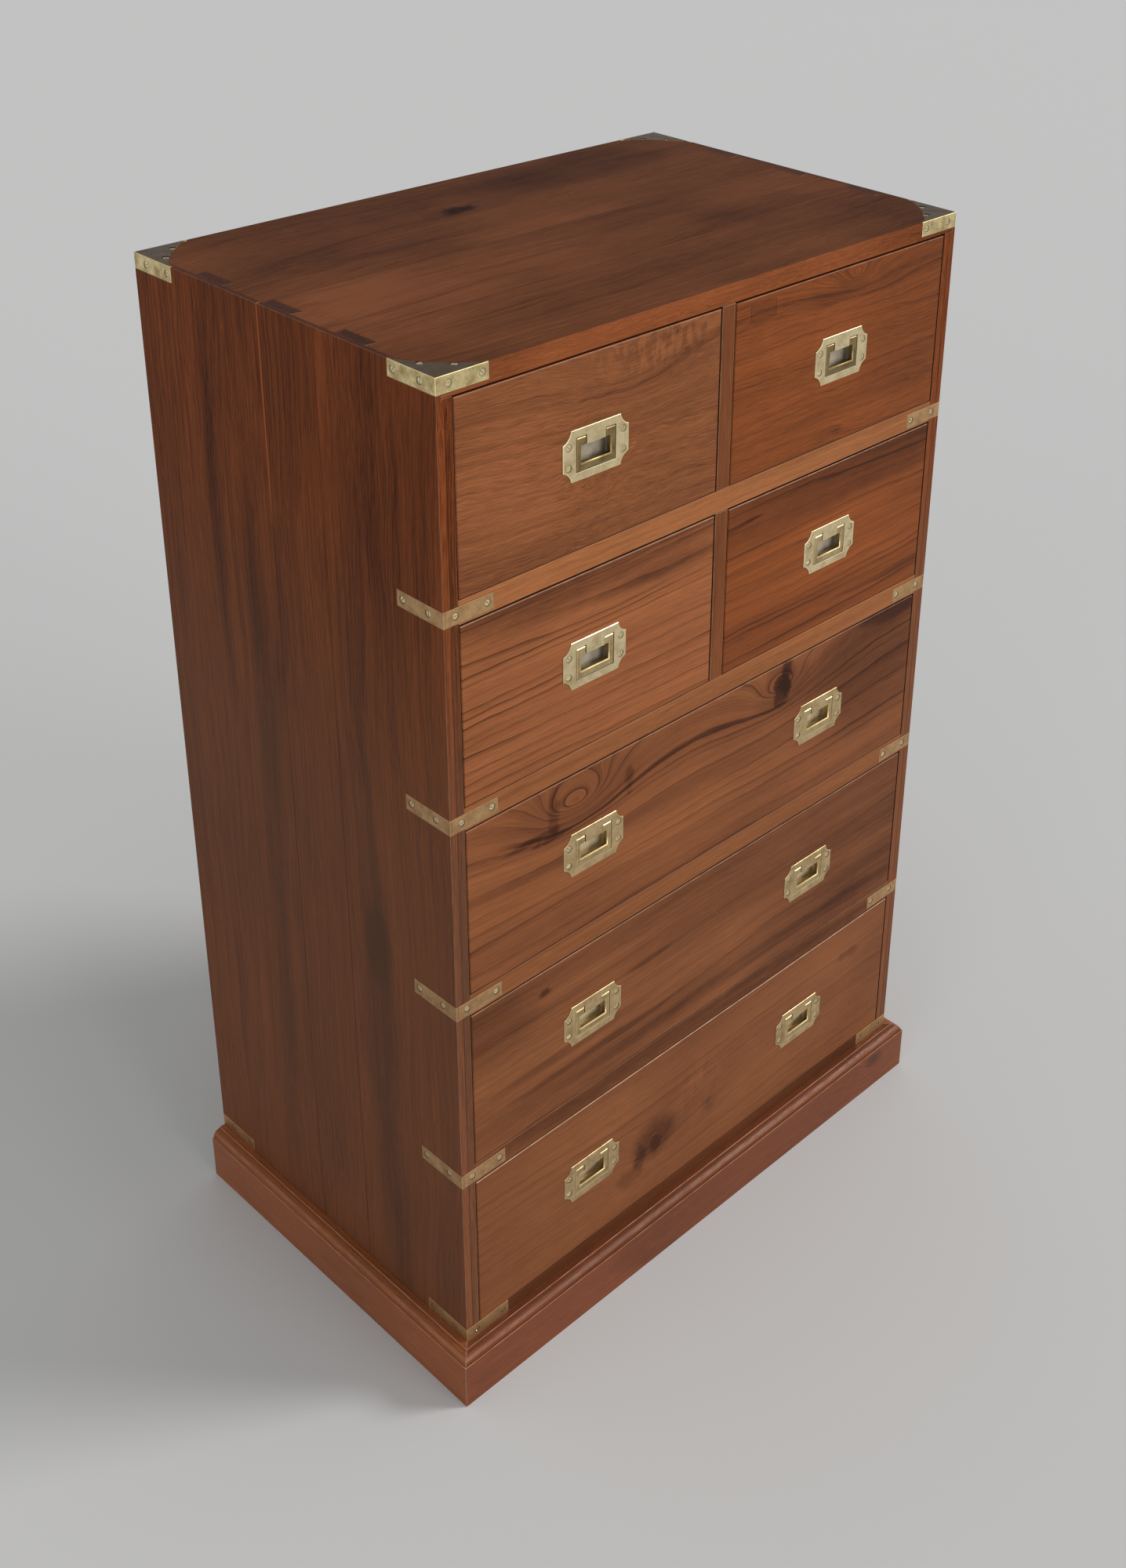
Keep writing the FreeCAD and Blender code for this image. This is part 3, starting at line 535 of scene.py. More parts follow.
def teak(name, board, light, dark, rings=60, line=0.3, band=0.4, fibre=0.3, pore=0.25, blotch=0.25,
         pith=(0.05, 0.25), wander=0.03, wobble=0.003, joints=(), knots=(), ridges=(), stains=(),
         ripple=None, patch=None, glue=None, lip=None, sheen=None, top_shade=None, seed=0.0, matt=0.42,
         polish=0.08, wear_and_highlight=0.25, shade=1.0):
    """Teak for a board: the board xy has its grain along x and faces y.

    Places are in metres, along the grain and then across it. The lists hold:
    knots: along, across, size, push and the dark of the heart,
    ridges: level across, half width, start, end and amount,
    stains, and the one ripple: along, across, half length, half width and amount,
    patch: left, low, right and high,
    glue: the joint's level, and where along it the glue starts and is full,
    sheen: the colour of a painted sheen of reflected light, where it is full and where it ends,
    and its share.
    The lip is the tone behind a side's outer skin, and the top shade is a painted shade multiplied
    into faces that look up.
    """
    finish = Finish(name)
    light = shaded(pictured(*light), shade)
    dark = pictured(*dark)
    spot, seam = planked(finish, board, joints, seed)
    grain = pushed(finish, spot, wander, wobble, knots)
    tone = ring_tone(finish, spot, grain, rings, line, band, pith, ridges)
    flow = finish.vector(spot.along, grain.moved, grain.deep)
    fibres = finish.noise(finish.stretched(flow, FIBRES), *FIBRE_NOISE)
    pores = finish.noise(finish.stretched(flow, PORES), *PORE_NOISE)
    dark_pores = finish.ramp(pores, *DARK_PORE_STEP)
    rough = finish.sum("SUBTRACT", finish.noise(spot.place, *ROUGH_NOISE), NOISE_MIDDLE)
    tone = finish.added(tone, finish.ramp(fibres, *FIBRE_STEP), fibre)
    tone = finish.added(tone, dark_pores, pore)
    tone = finish.added(tone, finish.ramp(pores, *PALE_PORE_STEP), pore)
    tone = finish.nudged(tone, finish.noise(spot.place, CLOUD_SCALE), blotch)
    tone = stained(finish, spot, grain, fibres, rough, tone, stains)
    if ripple:
        tone = rippled(finish, spot, grain, flow, tone, ripple)
    if lip:
        tone, seam = lipped(finish, spot, tone, seam, lip)
    if patch:
        tone, seam = patched(finish, spot, tone, seam, patch)
    colour = wood_colour(finish, board, spot, tone, seam, light, dark, sheen, top_shade, glue)
    # Marked edges are painted pale, for wear and as a painted highlight.
    pale_edge = finish.ramp(rough, *PALE_EDGE_STEP, wear_and_highlight * PALE_EDGE_LEAST, wear_and_highlight)
    colour = finish.mix(finish.sum("MULTIPLY", finish.attribute(EDGE_WEAR_AND_HIGHLIGHT), pale_edge), colour, WEAR_AND_HIGHLIGHT_WOOD)
    # Faces marked as looking into a gap are painted dark: a painted shade.
    colour = finish.mix(finish.attribute(SHADE_AND_GRIME), colour, shaded(dark, PAINTED_SHADE_DARK))
    finish.feed(finish.shader.inputs["Base Color"], colour)
    roughness = finish.added(matt - FIBRE_ROUGH / 2, fibres, FIBRE_ROUGH)
    finish.feed(finish.shader.inputs["Roughness"], roughness)
    finish.shader.inputs["Specular IOR Level"].default_value = polish
    finish.bump(finish.added(fibres, dark_pores, PORE_DEPTH), *WOOD_RELIEF)
    return finish.material


print("teak ready")

# %% [markdown]
# Brass goes olive and brown in the air and stays bright where hands and cloths reach it. Slow noise
# lays the tarnish, fine noise the rubbing marks, and faces that look up may be painted darker: tarnish
# and a painted dark reflection. The broken edges are painted brightest, for the rubbing of cloths and
# as a painted highlight, and fine scratches there spread their shine.

# %% Brass
# The colour of brass faces marked as looking into gaps and recesses: a painted shade, with old polish.
SHADE_AND_OLD_POLISH = pictured(38, 28, 16)
TARNISH_NOISE = (75.0, 4.0, 0.65)
TARNISH_STEP = (0.3, 0.75)
TARNISH_ROUGH = 0.16
SPECK_NOISE = (520.0, 3.0, 0.6)
SPECK_STEP = (0.5, 0.8)
SPECK_SHARE = 0.25
RUBBING = (300.0, 300.0, 1700.0)
RUBBING_ROUGH = 0.14
RUBBING_DEPTH = 0.3
UPWARD_STEP = (0.6, 0.95)
EDGE_SHINE = 0.7
EDGE_SHADE = 1.2
EDGE_ROUGH = 0.35
BRASS_RELIEF = (0.15, 0.0003)


def brass(name, bright, tarnish, amount=0.5, matt=0.3, top=None, seed=0.0, metal=1.0):
    """Old brass by its bright and tarnished colour, maybe with a dark top of tarnish and painted
    reflection.
    """
    finish = Finish(name)
    bright = pictured(*bright)
    point = finish.stretched(finish.point, (1.0, 1.0, 1.0), (seed, seed, seed))
    cloud = finish.noise(point, *TARNISH_NOISE)
    speck = finish.noise(point, *SPECK_NOISE)
    rubbed = finish.noise(finish.stretched(finish.point, RUBBING))
    dull = finish.ramp(cloud, *TARNISH_STEP, 0.0, amount)
    dull = finish.added(dull, finish.ramp(speck, *SPECK_STEP), SPECK_SHARE * amount)
    dull = finish.sum("MINIMUM", dull, 1.0)
    colour = finish.mix(dull, bright, pictured(*tarnish))
    # Faces that look up may get a darker colour: tarnish and a painted dark reflection.
    if top:
        upward = finish.ramp(finish.split(finish.facing)[2], *UPWARD_STEP)
        colour = finish.mix(upward, colour, pictured(*top))
    # Marked edges are painted brighter, for rubbing and as a painted highlight.
    pale_edge = finish.sum("MULTIPLY", finish.attribute(EDGE_WEAR_AND_HIGHLIGHT), EDGE_SHINE)
    colour = finish.mix(pale_edge, colour, shaded(bright, EDGE_SHADE))
    # Faces marked as looking into gaps, recesses and countersinks are painted dark: a painted shade.
    colour = finish.mix(finish.attribute(SHADE_AND_GRIME), colour, SHADE_AND_OLD_POLISH)
    finish.feed(finish.shader.inputs["Base Color"], colour)
    rough = finish.added(matt, dull, TARNISH_ROUGH)
    rough = finish.added(rough, pale_edge, EDGE_ROUGH)
    finish.feed(finish.shader.inputs["Roughness"], finish.added(rough, rubbed, RUBBING_ROUGH))
    finish.shader.inputs["Metallic"].default_value = metal
    finish.bump(finish.added(cloud, rubbed, RUBBING_DEPTH), *BRASS_RELIEF)
    return finish.material


print("brass ready")

# %% [markdown]
# A imported solid has edges like a knife, and no real board or strap has. Each piece that shows is
# copied, its triangles are merged into whole faces, and every sharp edge is broken with a small
# bevel. A Bevel modifier would do this too, but the operator hands back the faces that it made. They
# are marked to be painted paler, for wear and as a painted highlight, and faces that look into a gap
# are marked too, to be painted dark: a painted shade, along with the old polish that gathers there.

# %% Softened copies
MERGE = 1e-6
FLAT = math.radians(0.5)
SHARP = math.radians(28)
BEVEL_STEPS = 2
TURNED = 0.3


def merged_copy(node):
    """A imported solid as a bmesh, with its triangles joined into whole faces."""
    shape = bmesh.new()
    shape.from_mesh(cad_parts[node].data)
    bmesh.ops.remove_doubles(shape, verts=shape.verts, dist=MERGE)
    bmesh.ops.dissolve_limit(shape, angle_limit=FLAT, verts=shape.verts, edges=shape.edges)
    shape.faces.layers.float.new(EDGE_WEAR_AND_HIGHLIGHT)
    shape.faces.layers.float.new(SHADE_AND_GRIME)
    return shape


def break_edges(shape, size, pale_edge=1.0):
    """Bevel the sharp outward edges and mark the new faces for wear and a painted highlight."""
    wear = shape.faces.layers.float[EDGE_WEAR_AND_HIGHLIGHT]
    sharp = [edge for edge in shape.edges
             if edge.is_manifold and edge.calc_face_angle_signed(0.0) > SHARP]
    made = bmesh.ops.bevel(shape, geom=sharp, offset=size, offset_type="OFFSET", affect="EDGES",
                           segments=BEVEL_STEPS, profile=0.5, material=-1, clamp_overlap=True)
    for face in made["faces"]:
        face[wear] = pale_edge
    return len(sharp)


def mark(shape, layer, level, rule):
    """Give the faces that a rule names a level of wear and painted highlight, or of painted shade."""
    levels = shape.faces.layers.float[layer]
    for face in shape.faces:
        if rule(face):
            face[levels] = level


def faces_gap(face):
    """Whether a face in the front looks into a gap beside it."""
    return face.normal.y > -TURNED


print("copies and marks ready")

# %% [markdown]
# A dressed piece lies at the origin like its solid, rides on the same body, names the slot of its
# finish and hides the solids that it stands for. Weighted normals keep flat faces flat beside their
# round edges.

# %% Dressed pieces
CARCASS = "carcass"
WOOD_SMOOTH = 40
BRASS_SMOOTH = 30


def finished(name, shape, body, finishes, nodes=(), smooth=WOOD_SMOOTH):
    """A piece from a bmesh, on its body, with its finishes and the solids that it stands for."""
    piece = new_object(name, shape)
    for finish in finishes:
        piece.data.materials.append(finish)
    piece.data.shade_smooth()
    piece.data.set_sharp_from_angle(angle=math.radians(smooth))
    weighted = piece.modifiers.new("even_normals", "WEIGHTED_NORMAL")
    weighted.keep_sharp = True
    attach(piece, body)
    if nodes:
        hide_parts(*nodes)
    return piece


# Faces that the hidden rule names are painted dark, a painted shade, and faces that the rubbed rule
# names are painted pale, a painted highlight.
def softened(node, body, finish, size, shade_and_grime=0.0, hidden=faces_gap, rubbed=None, highlight_level=1.0,
             pale_edge=1.0):
    """The usual way to dress a piece: a copy with broken edges in one finish."""
    shape = merged_copy(node)
    mark(shape, SHADE_AND_GRIME, shade_and_grime, hidden)
    if rubbed:
        mark(shape, EDGE_WEAR_AND_HIGHLIGHT, highlight_level, rubbed)
    count = break_edges(shape, size, pale_edge)
    piece = finished(f"{node}_dressed", shape, body, [finish], [node])
    print(node, count, "edges broken,", len(piece.data.polygons), "faces")


# %% [markdown]
# The top runs from side to side, with one small knot and the dark ends of the dovetail pins at its
# edges. The sides were glued up from upright planks, so their grain runs up and down, and pale glue
# shows in one joint near the top. Dark streaks and a soft knot come from the heart of the tree.

# %% Top and sides
ARRIS = 0.0009
# Faces that look into a gap, under the top, inside the sides and round the drawers, are painted dark by
# this level: a painted shade.
GAP_SHADE = 0.5
# The sides carry a painted sheen of reflected light, strongest low on each side.
SIDE_FIGURE = dict(
    light=(122, 62, 28), dark=(60, 27, 12), rings=90, line=0.28, band=0.5, pith=(0.02, -0.6),
    joints=(-0.0494, 0.0325), fibre=0.6, pore=0.35, wander=0.02, matt=0.46, polish=0.05, wear_and_highlight=0.2,
    sheen=(pictured(112, 78, 58), 0.6, 1.05, 0.5))
# The top's upward faces get a painted shade, multiplied darker and cooler.
top_teak = teak(
    "top_teak", "xz", (136, 76, 43), (78, 41, 23), rings=90, line=0.25, band=0.3, fibre=0.3, pore=0.3,
    blotch=0.8, pith=(0.1, 0.9), wobble=0.006, joints=(-0.0894, 0.0286), seed=3.1, matt=0.5,
    polish=0.02, knots=((-0.03, 0.1276, 0.012, 0.03, 0.7),), top_shade=(0.58, 0.64, 0.72, 1.0),
    stains=((-0.03, 0.1276, 0.03, 0.012, 0.8), (-0.02, 0.125, 0.07, 0.02, 0.3),
            (0.14, 0.17, 0.16, 0.05, 0.4), (0.2, -0.05, 0.1, 0.03, 0.3),
            (0.1, 0.2, 0.4, 0.09, 0.35), (-0.25, -0.05, 0.12, 0.14, -0.3)))
left_teak = teak(
    "left_teak", "zx", seed=7.7, lip=0.4, glue=(0.0325, 0.9, 1.0), **SIDE_FIGURE,
    stains=((0.92, 0.1256, 0.22, 0.012, 0.5), (0.55, 0.072, 0.5, 0.02, 0.55),
            (0.514, -0.0944, 0.05, 0.022, 0.75), (0.37, -0.092, 0.3, 0.028, 0.6),
            (0.13, -0.12, 0.14, 0.02, 0.35), (1.0, -0.14, 0.22, 0.06, 0.3)))
right_teak = teak(
    "right_teak", "zx", seed=23.4, lip=-0.15, **SIDE_FIGURE,
    stains=((0.8, 0.03, 0.3, 0.014, 0.4), (0.35, -0.07, 0.2, 0.018, 0.35)))
softened("top_board", CARCASS, top_teak, ARRIS, GAP_SHADE,
         lambda face: face.normal.z < -TURNED, pale_edge=0.0)
softened("left_side", CARCASS, left_teak, ARRIS, GAP_SHADE,
         lambda face: face.normal.x > TURNED)
softened("right_side", CARCASS, right_teak, ARRIS, GAP_SHADE,
         lambda face: face.normal.x < -TURNED)

# %% [markdown]
# Between the sides stands a frame of rails and dividers, with the bottom board below. The upper rails
# are paler, where more hands reach them; the lower rails are a darker copy of the same wood, a painted
# shade. The bottom board is painted dark: a painted shadow under the lowest drawer.

# %% Rails and dividers
RAIL_PALE_EDGE = 0.4
frame_teak = teak("frame_teak", "xy", (154, 96, 56), (94, 52, 28), line=0.2, wander=0.008, seed=1.3)
shaded_frame_teak = teak("shaded_frame_teak", "xy", (132, 80, 46), (80, 43, 23), line=0.2,
                        wander=0.008, seed=1.9, stains=((0.055, 0.288, 0.4, 0.02, 0.8),))
base_shadow_teak = teak("base_shadow_teak", "xy", (92, 50, 27), (52, 26, 13), line=0.2, seed=2.7)
divider_teak = teak("divider_teak", "zy", (122, 70, 38), (66, 34, 16), seed=4.4)
for node, finish, pale_edge in (
        ("rail_1", frame_teak, RAIL_PALE_EDGE), ("rail_2", frame_teak, RAIL_PALE_EDGE),
        ("rail_3", shaded_frame_teak, RAIL_PALE_EDGE), ("rail_4", shaded_frame_teak, RAIL_PALE_EDGE),
        ("bottom_board", base_shadow_teak, 0.0),
        ("upper_divider", divider_teak, 1.0), ("lower_divider", divider_teak, 1.0)):
    softened(node, CARCASS, finish, ARRIS, GAP_SHADE, pale_edge=pale_edge)

# %% [markdown]
# The plinth is a run of moulding mitred at the two front corners: a plain face, a small step and a
# round bead under the carcass. Its imported mesh already has the curve, so the copy only loses its
# sharp edges. It was polished harder than the rest. Its edges are painted pale, for wear and as a
# painted highlight, and a band along the upper slope of its bead is painted pale as a highlight.

# %% Plinth
PLINTH_ARRIS = 0.0006
# Bead faces that slope up between these two levels are painted pale: a painted highlight.
BEAD_LOW = 0.45
BEAD_HIGH = 0.75
BEAD_HIGHLIGHT = 0.36
PLINTH_FIGURE = dict(line=0.25, band=0.35, matt=0.3, polish=0.14, wear_and_highlight=0.5)
plinth_teak = teak("plinth_teak", "xy", (114, 61, 35), (64, 32, 17), seed=9.2,
                   knots=((0.31, 0.035, 0.012, 0.03, 0.7),), **PLINTH_FIGURE)
plinth_side_teak = teak("plinth_side_teak", "yx", (150, 85, 47), (92, 49, 26), seed=5.6,
                        **PLINTH_FIGURE)
for node, finish in (("plinth_front", plinth_teak), ("plinth_left", plinth_side_teak),
                     ("plinth_right", plinth_side_teak)):
    softened(node, CARCASS, finish, PLINTH_ARRIS,
             rubbed=lambda face: BEAD_LOW < face.normal.z < BEAD_HIGH, highlight_level=BEAD_HIGHLIGHT)

# %% [markdown]
# The drawer fronts carry the show of the wood. Each was cut from its own plank, so each gets its own
# pith, streaks and knots, placed where the chest has them. The third is the liveliest: a swirl at the
# left, a knot at the right, and one strong line that rises between them. The upper edge of each front
# has a small chamfer that is painted pale: a painted highlight of the light from above.

# %% Drawer fronts
FRONT_LIGHT = (134, 80, 47)
FRONT_RED = (128, 68, 31)
FRONT_DULL = (121, 73, 43)
FRONT_DARK = (70, 36, 19)
DRAWER_FIGURE = {
    "upper_left": dict(
        light=FRONT_LIGHT, shade=0.9, rings=110, line=0.2, band=0.25, pith=(1.35, 0.1), wander=0.05,
        wobble=0.006, fibre=0.32, pore=0.35, seed=0.4, wear_and_highlight=0.3,
        knots=((-0.14, 1.125, 0.03, 0.05, 0.0),), ripple=(-0.08, 1.11, 0.11, 0.035, 0.45),
        # The first stain is a pale one: a painted sheen of reflected light low on the left of this
        # front.
        stains=((-0.28, 1.02, 0.1, 0.07, -0.25), (-0.08, 1.09, 0.13, 0.045, 0.2))),
    "upper_right": dict(
        light=FRONT_RED, rings=120, line=0.33, band=0.35, pith=(0.8, 0.1), wander=0.016, wobble=0.005,
        fibre=0.3, pore=0.35, seed=2.2, patch=(0.031, 1.098, 0.067, 1.1145),
        knots=((0.19, 1.115, 0.02, 0.05, 0.0),),
        stains=((0.3, 1.05, 0.12, 0.1, 0.25), (0.16, 1.1, 0.05, 0.012, 0.25))),
    "second_left": dict(
        light=FRONT_LIGHT, shade=1.27, rings=95, line=0.75, band=0.3, pith=(0.3, 0.1), wander=0.015,
        fibre=0.2, pore=0.18, seed=5.3, wear_and_highlight=0.5,
        stains=((-0.17, 0.906, 0.3, 0.024, 0.5), (-0.06, 0.876, 0.12, 0.012, 0.35))),
    "second_right": dict(
        light=FRONT_RED, shade=1.06, rings=100, line=0.65, band=0.4, pith=(0.4, 0.1), wander=0.02,
        fibre=0.22, pore=0.18, seed=6.9, wear_and_highlight=0.5, stains=((0.2, 0.896, 0.3, 0.04, 0.55),)),
    "third": dict(
        light=FRONT_LIGHT, rings=60, line=0.45, band=0.4, pith=(0.1, 0.1), wander=0.012, fibre=0.2,
        pore=0.18, seed=8.8, ridges=((0.689, 0.005, -0.31, 0.13, 0.6),),
        knots=((-0.195, 0.671, 0.038, 0.11, 0.0), (0.105, 0.674, 0.032, 0.08, 0.0)),
        stains=((-0.2, 0.672, 0.1, 0.05, 0.25), (-0.224, 0.672, 0.009, 0.03, 0.4),
                (-0.25, 0.648, 0.04, 0.005, 0.5), (-0.225, 0.641, 0.03, 0.004, 0.5),
                (-0.122, 0.66, 0.007, 0.02, 0.35), (0.106, 0.67, 0.014, 0.022, 0.8),
                (0.112, 0.682, 0.011, 0.022, 0.7), (0.11, 0.67, 0.05, 0.03, 0.3),
                (0.3, 0.7, 0.07, 0.02, 0.6), (0.27, 0.64, 0.16, 0.09, 0.55))),
    "fourth": dict(
        light=FRONT_DULL, shade=1.05, rings=40, line=0.25, band=0.5, pith=(-0.1, 0.1), wander=0.02,
        fibre=0.3, pore=0.2, blotch=0.5, seed=11.5, wear_and_highlight=0.35,
        knots=((-0.237, 0.459, 0.006, 0.016, 0.6),),
        stains=((-0.09, 0.419, 0.04, 0.006, 0.4), (0.1, 0.322, 0.35, 0.012, 0.45),
                (0.27, 0.4, 0.14, 0.12, 0.2), (-0.2, 0.367, 0.12, 0.008, 0.45),
                (-0.16, 0.345, 0.14, 0.006, 0.5), (-0.3, 0.44, 0.06, 0.04, 0.3))),
    "bottom": dict(
        light=FRONT_DULL, shade=1.06, rings=50, line=0.25, band=0.25, pith=(-0.4, 0.1), wander=0.025,
        fibre=0.2, pore=0.2, blotch=0.5, seed=13.1, wear_and_highlight=0.8,
        knots=((-0.075, 0.163, 0.02, 0.05, 0.0),), ripple=(0.0, 0.19, 0.05, 0.05, 0.13),
        stains=((-0.095, 0.151, 0.013, 0.02, 0.45), (-0.072, 0.154, 0.01, 0.012, 0.35),
                (-0.074, 0.164, 0.038, 0.032, 0.65), (-0.116, 0.129, 0.03, 0.014, 0.35),
                (0.017, 0.154, 0.012, 0.012, 0.35), (-0.008, 0.206, 0.02, 0.01, -0.25),
                (0.26, 0.229, 0.02, 0.008, 0.4))),
}
FRONT_ARRIS = 0.00025
# Chamfers that face up are painted pale: a painted highlight of the light from above.
CHAMFER_LOW = 0.4
CHAMFER_HIGH = 0.9
for drawer, figure in DRAWER_FIGURE.items():
    front_teak = teak(f"{drawer}_front_teak", "xy", dark=FRONT_DARK, **figure)
    softened(f"{drawer}_drawer_front", f"{drawer}_drawer", front_teak, FRONT_ARRIS,
             GAP_SHADE, rubbed=lambda face: CHAMFER_LOW < face.normal.z < CHAMFER_HIGH, pale_edge=0.0)

# %% [markdown]
# Now the brass. Every strap and plate is held by slotted screws. One head is made and repeated: a
# short cone whose flat top is cut twice to mark off the slot, which is then pushed down.

# %% Screws
SCREW_RADIUS = 0.0029
SCREW_SINK = 0.0007
SCREW_SIDES = 18
HEAD_DEPTH = 0.001
HEAD_TAPER = 0.75
HEAD_TOP = 0.9
SLOT_HALF = 0.00045
SLOT_DEPTH = 0.0007


def facing_turn(outward, spin):
    """A turn that takes up to a direction, after a spin about up."""
    return Vector(outward).to_track_quat("Z", "Y").to_matrix().to_4x4() @ Matrix.Rotation(spin, 4, "Z")


def screw_head():
    """A countersunk head, its flat top at the height 0 and a slot across it."""
    shape = bmesh.new()
    bmesh.ops.create_cone(shape, cap_ends=True, segments=SCREW_SIDES, radius1=SCREW_RADIUS * HEAD_TAPER,
                          radius2=SCREW_RADIUS, depth=HEAD_DEPTH)
    bmesh.ops.translate(shape, verts=shape.verts, vec=(0, 0, -HEAD_DEPTH / 2))
    for offset in (-SLOT_HALF, SLOT_HALF):
        bmesh.ops.bisect_plane(shape, geom=shape.verts[:] + shape.edges[:] + shape.faces[:],
                               plane_co=(0, offset, 0), plane_no=(0, 1, 0))
    slot_top = [face for face in shape.faces
                if face.normal.z > HEAD_TOP and abs(face.calc_center_median().y) < SLOT_HALF]
    sunk = bmesh.ops.extrude_face_region(shape, geom=slot_top)
    slot_verts = [item for item in sunk["geom"] if isinstance(item, bmesh.types.BMVert)]
    bmesh.ops.translate(shape, verts=slot_verts, vec=(0, 0, -SLOT_DEPTH))
    bmesh.ops.delete(shape, geom=slot_top, context="FACES")
    mesh = bpy.data.meshes.new("screw_head")
    shape.to_mesh(mesh)
    shape.free()
    return mesh


screw_mesh = screw_head()
print("one screw head has", len(screw_mesh.polygons), "faces")


def screws(name, places, body, finish):
    """Screw heads at places: a point on the brass, the way it faces and the turn of the slot."""
    shape = bmesh.new()
    for point, outward, spin in places:
        before = len(shape.verts)
        shape.from_mesh(screw_mesh)
        shape.verts.ensure_lookup_table()
        sunk_point = Vector(point) - Vector(outward) * SCREW_SINK
        move = Matrix.Translation(sunk_point) @ facing_turn(outward, spin)
        bmesh.ops.transform(shape, matrix=move, verts=shape.verts[before:])
    finished(name, shape, body, [finish], smooth=BRASS_SMOOTH)


# %% [markdown]
# Each screw sits in a countersink. A Boolean that is applied at once cuts them out of the brass, and
# the fold lines with them, so each hole is real. It is painted dark, a painted shade, so that a dark
# ring sets the head off.

# %% Countersinks
SINK_RADIUS = 0.0039
SINK_DEPTH = HEAD_DEPTH
SINK_FLARE = 0.28
SINK_SHADE = 0.4


def in_countersink(face, places):
    """Whether a face lies in one of the countersinks."""
    middle = face.calc_center_median()
    for point, outward, spin in places:
        off = middle - Vector(point)
        sunk = -off.dot(Vector(outward))
        if MERGE < sunk < 2 * SINK_DEPTH and (off + sunk * Vector(outward)).length < SINK_RADIUS:
            return True
    return False


def cutters(places, grooves):
    """Flared cones at screw places, and grooves by middle and extent, in one bmesh."""
    shape = bmesh.new()
    for point, outward, spin in places:
        bmesh.ops.create_cone(
            shape, cap_ends=True, segments=SCREW_SIDES, depth=SINK_DEPTH * 2,
            radius1=SINK_RADIUS * (1 - SINK_FLARE), radius2=SINK_RADIUS * (1 + SINK_FLARE),
            matrix=Matrix.Translation(point) @ facing_turn(outward, spin))
    for middle, extent in grooves:
        bmesh.ops.create_cube(shape, size=1.0,
                              matrix=Matrix.Translation(middle) @ Matrix.Diagonal((*extent, 1.0)))
    return shape


def countersunk(shape, places, grooves=()):
    """A bmesh with countersinks and grooves cut out of it."""
    cutter = new_object("countersinks", cutters(places, grooves))
    blank = new_object("blank", shape)
    cut = blank.modifiers.new("countersink", "BOOLEAN")
    cut.operation = "DIFFERENCE"
    cut.solver = "EXACT"
    cut.object = cutter
    bpy.context.view_layer.update()
    evaluated = blank.evaluated_get(bpy.context.evaluated_depsgraph_get())
    cut_mesh = bpy.data.meshes.new_from_object(evaluated)
    result = bmesh.new()
    result.from_mesh(cut_mesh)
    for item in (blank, cutter):
        bpy.data.objects.remove(item)
    bpy.data.meshes.remove(cut_mesh)
    mark(result, SHADE_AND_GRIME, SINK_SHADE, lambda face: in_countersink(face, places))
    return result


print("countersinks ready")

# %% [markdown]
# Two screws go on each arm of a strap, and the same on the corner plates with two more on top. A slot
# stops where its screw came tight, so each is turned by a fixed rule that looks like chance. A fine
# line near each front corner shows where the strip was folded.

# %% Screw places
FRONT_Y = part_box("left_side")[0].y
BACK_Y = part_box("left_side")[1].y
TOP_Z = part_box("top_board")[1].z
STRAP_HEIGHT = 0.016
STRAP_RISE = 0.0024
FRONT_ARM_SCREWS = (0.014, 0.05)
SIDE_ARM_SCREWS = (0.02, 0.055)
PLATE_SCREWS = ((0.033, 0.015), (0.013, 0.035))
FOLD_INSET = 0.0028
FOLD_WIDTH = 0.0003
TURN_STEP = 2.399


def edge_at(y_hand):
    """The front or the back edge of the carcass, by the sign of its y."""
    return FRONT_Y if y_hand < 0 else BACK_Y


def corner_places(x_hand, y_hand, middle_z):
    """The screw places on the two arms of one corner."""
    edge_y = edge_at(y_hand)
    places = []
    for reach in FRONT_ARM_SCREWS:
        places.append(((x_hand * (HALF_WIDTH - reach), edge_y, middle_z), (0, y_hand, 0)))
    for reach in SIDE_ARM_SCREWS:
        places.append(((x_hand * HALF_WIDTH, edge_y - y_hand * reach, middle_z), (x_hand, 0, 0)))
    return places


def fold_line(x_hand, y_hand, middle_z):
    """The groove where a strip was folded: its middle and its extent."""
    middle = (x_hand * (HALF_WIDTH - FOLD_INSET), edge_at(y_hand), middle_z)
    return middle, (FOLD_WIDTH, FOLD_WIDTH * 2, STRAP_HEIGHT * 2)


def with_turns(places):
    """Screw places with a turn for each slot."""
    return [(point, outward, number * TURN_STEP % math.pi)
            for number, (point, outward) in enumerate(places)]


strap_places = []
strap_folds = []
for rail in ("rail_1", "rail_2", "rail_3", "rail_4"):
    middle_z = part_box(rail)[0].z + STRAP_RISE + STRAP_HEIGHT / 2
    for x_hand in (-1, 1):
        strap_places += corner_places(x_hand, -1, middle_z)
        strap_folds.append(fold_line(x_hand, -1, middle_z))
mount_places = []
for x_hand in (-1, 1):
    for y_hand in (-1, 1):
        strap_places += corner_places(x_hand, y_hand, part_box("bottom_board")[1].z - STRAP_HEIGHT / 2)
        mount_places += corner_places(x_hand, y_hand, TOP_Z - STRAP_HEIGHT / 2)
        for in_x, in_y in PLATE_SCREWS:
            place = (x_hand * (HALF_WIDTH - in_x), edge_at(y_hand) - y_hand * in_y, TOP_Z)
            mount_places.append((place, (0, 0, 1)))
print(len(strap_places), "screws in the straps,", len(mount_places), "in the corner plates")

# %% [markdown]
# The corner plates are bright at their sides, where people pass, and painted dark on top: tarnish and
# a painted dark reflection. The straps lie flush in the wood and are duller. A plate's inner edge
# meets the wood, so it gets neither the wear nor the painted highlight of the other edges.

# %% Straps and corner plates
BRASS_ARRIS = 0.0003
MOUNT_ARRIS = 0.0006
INNER_EDGE = 0.004
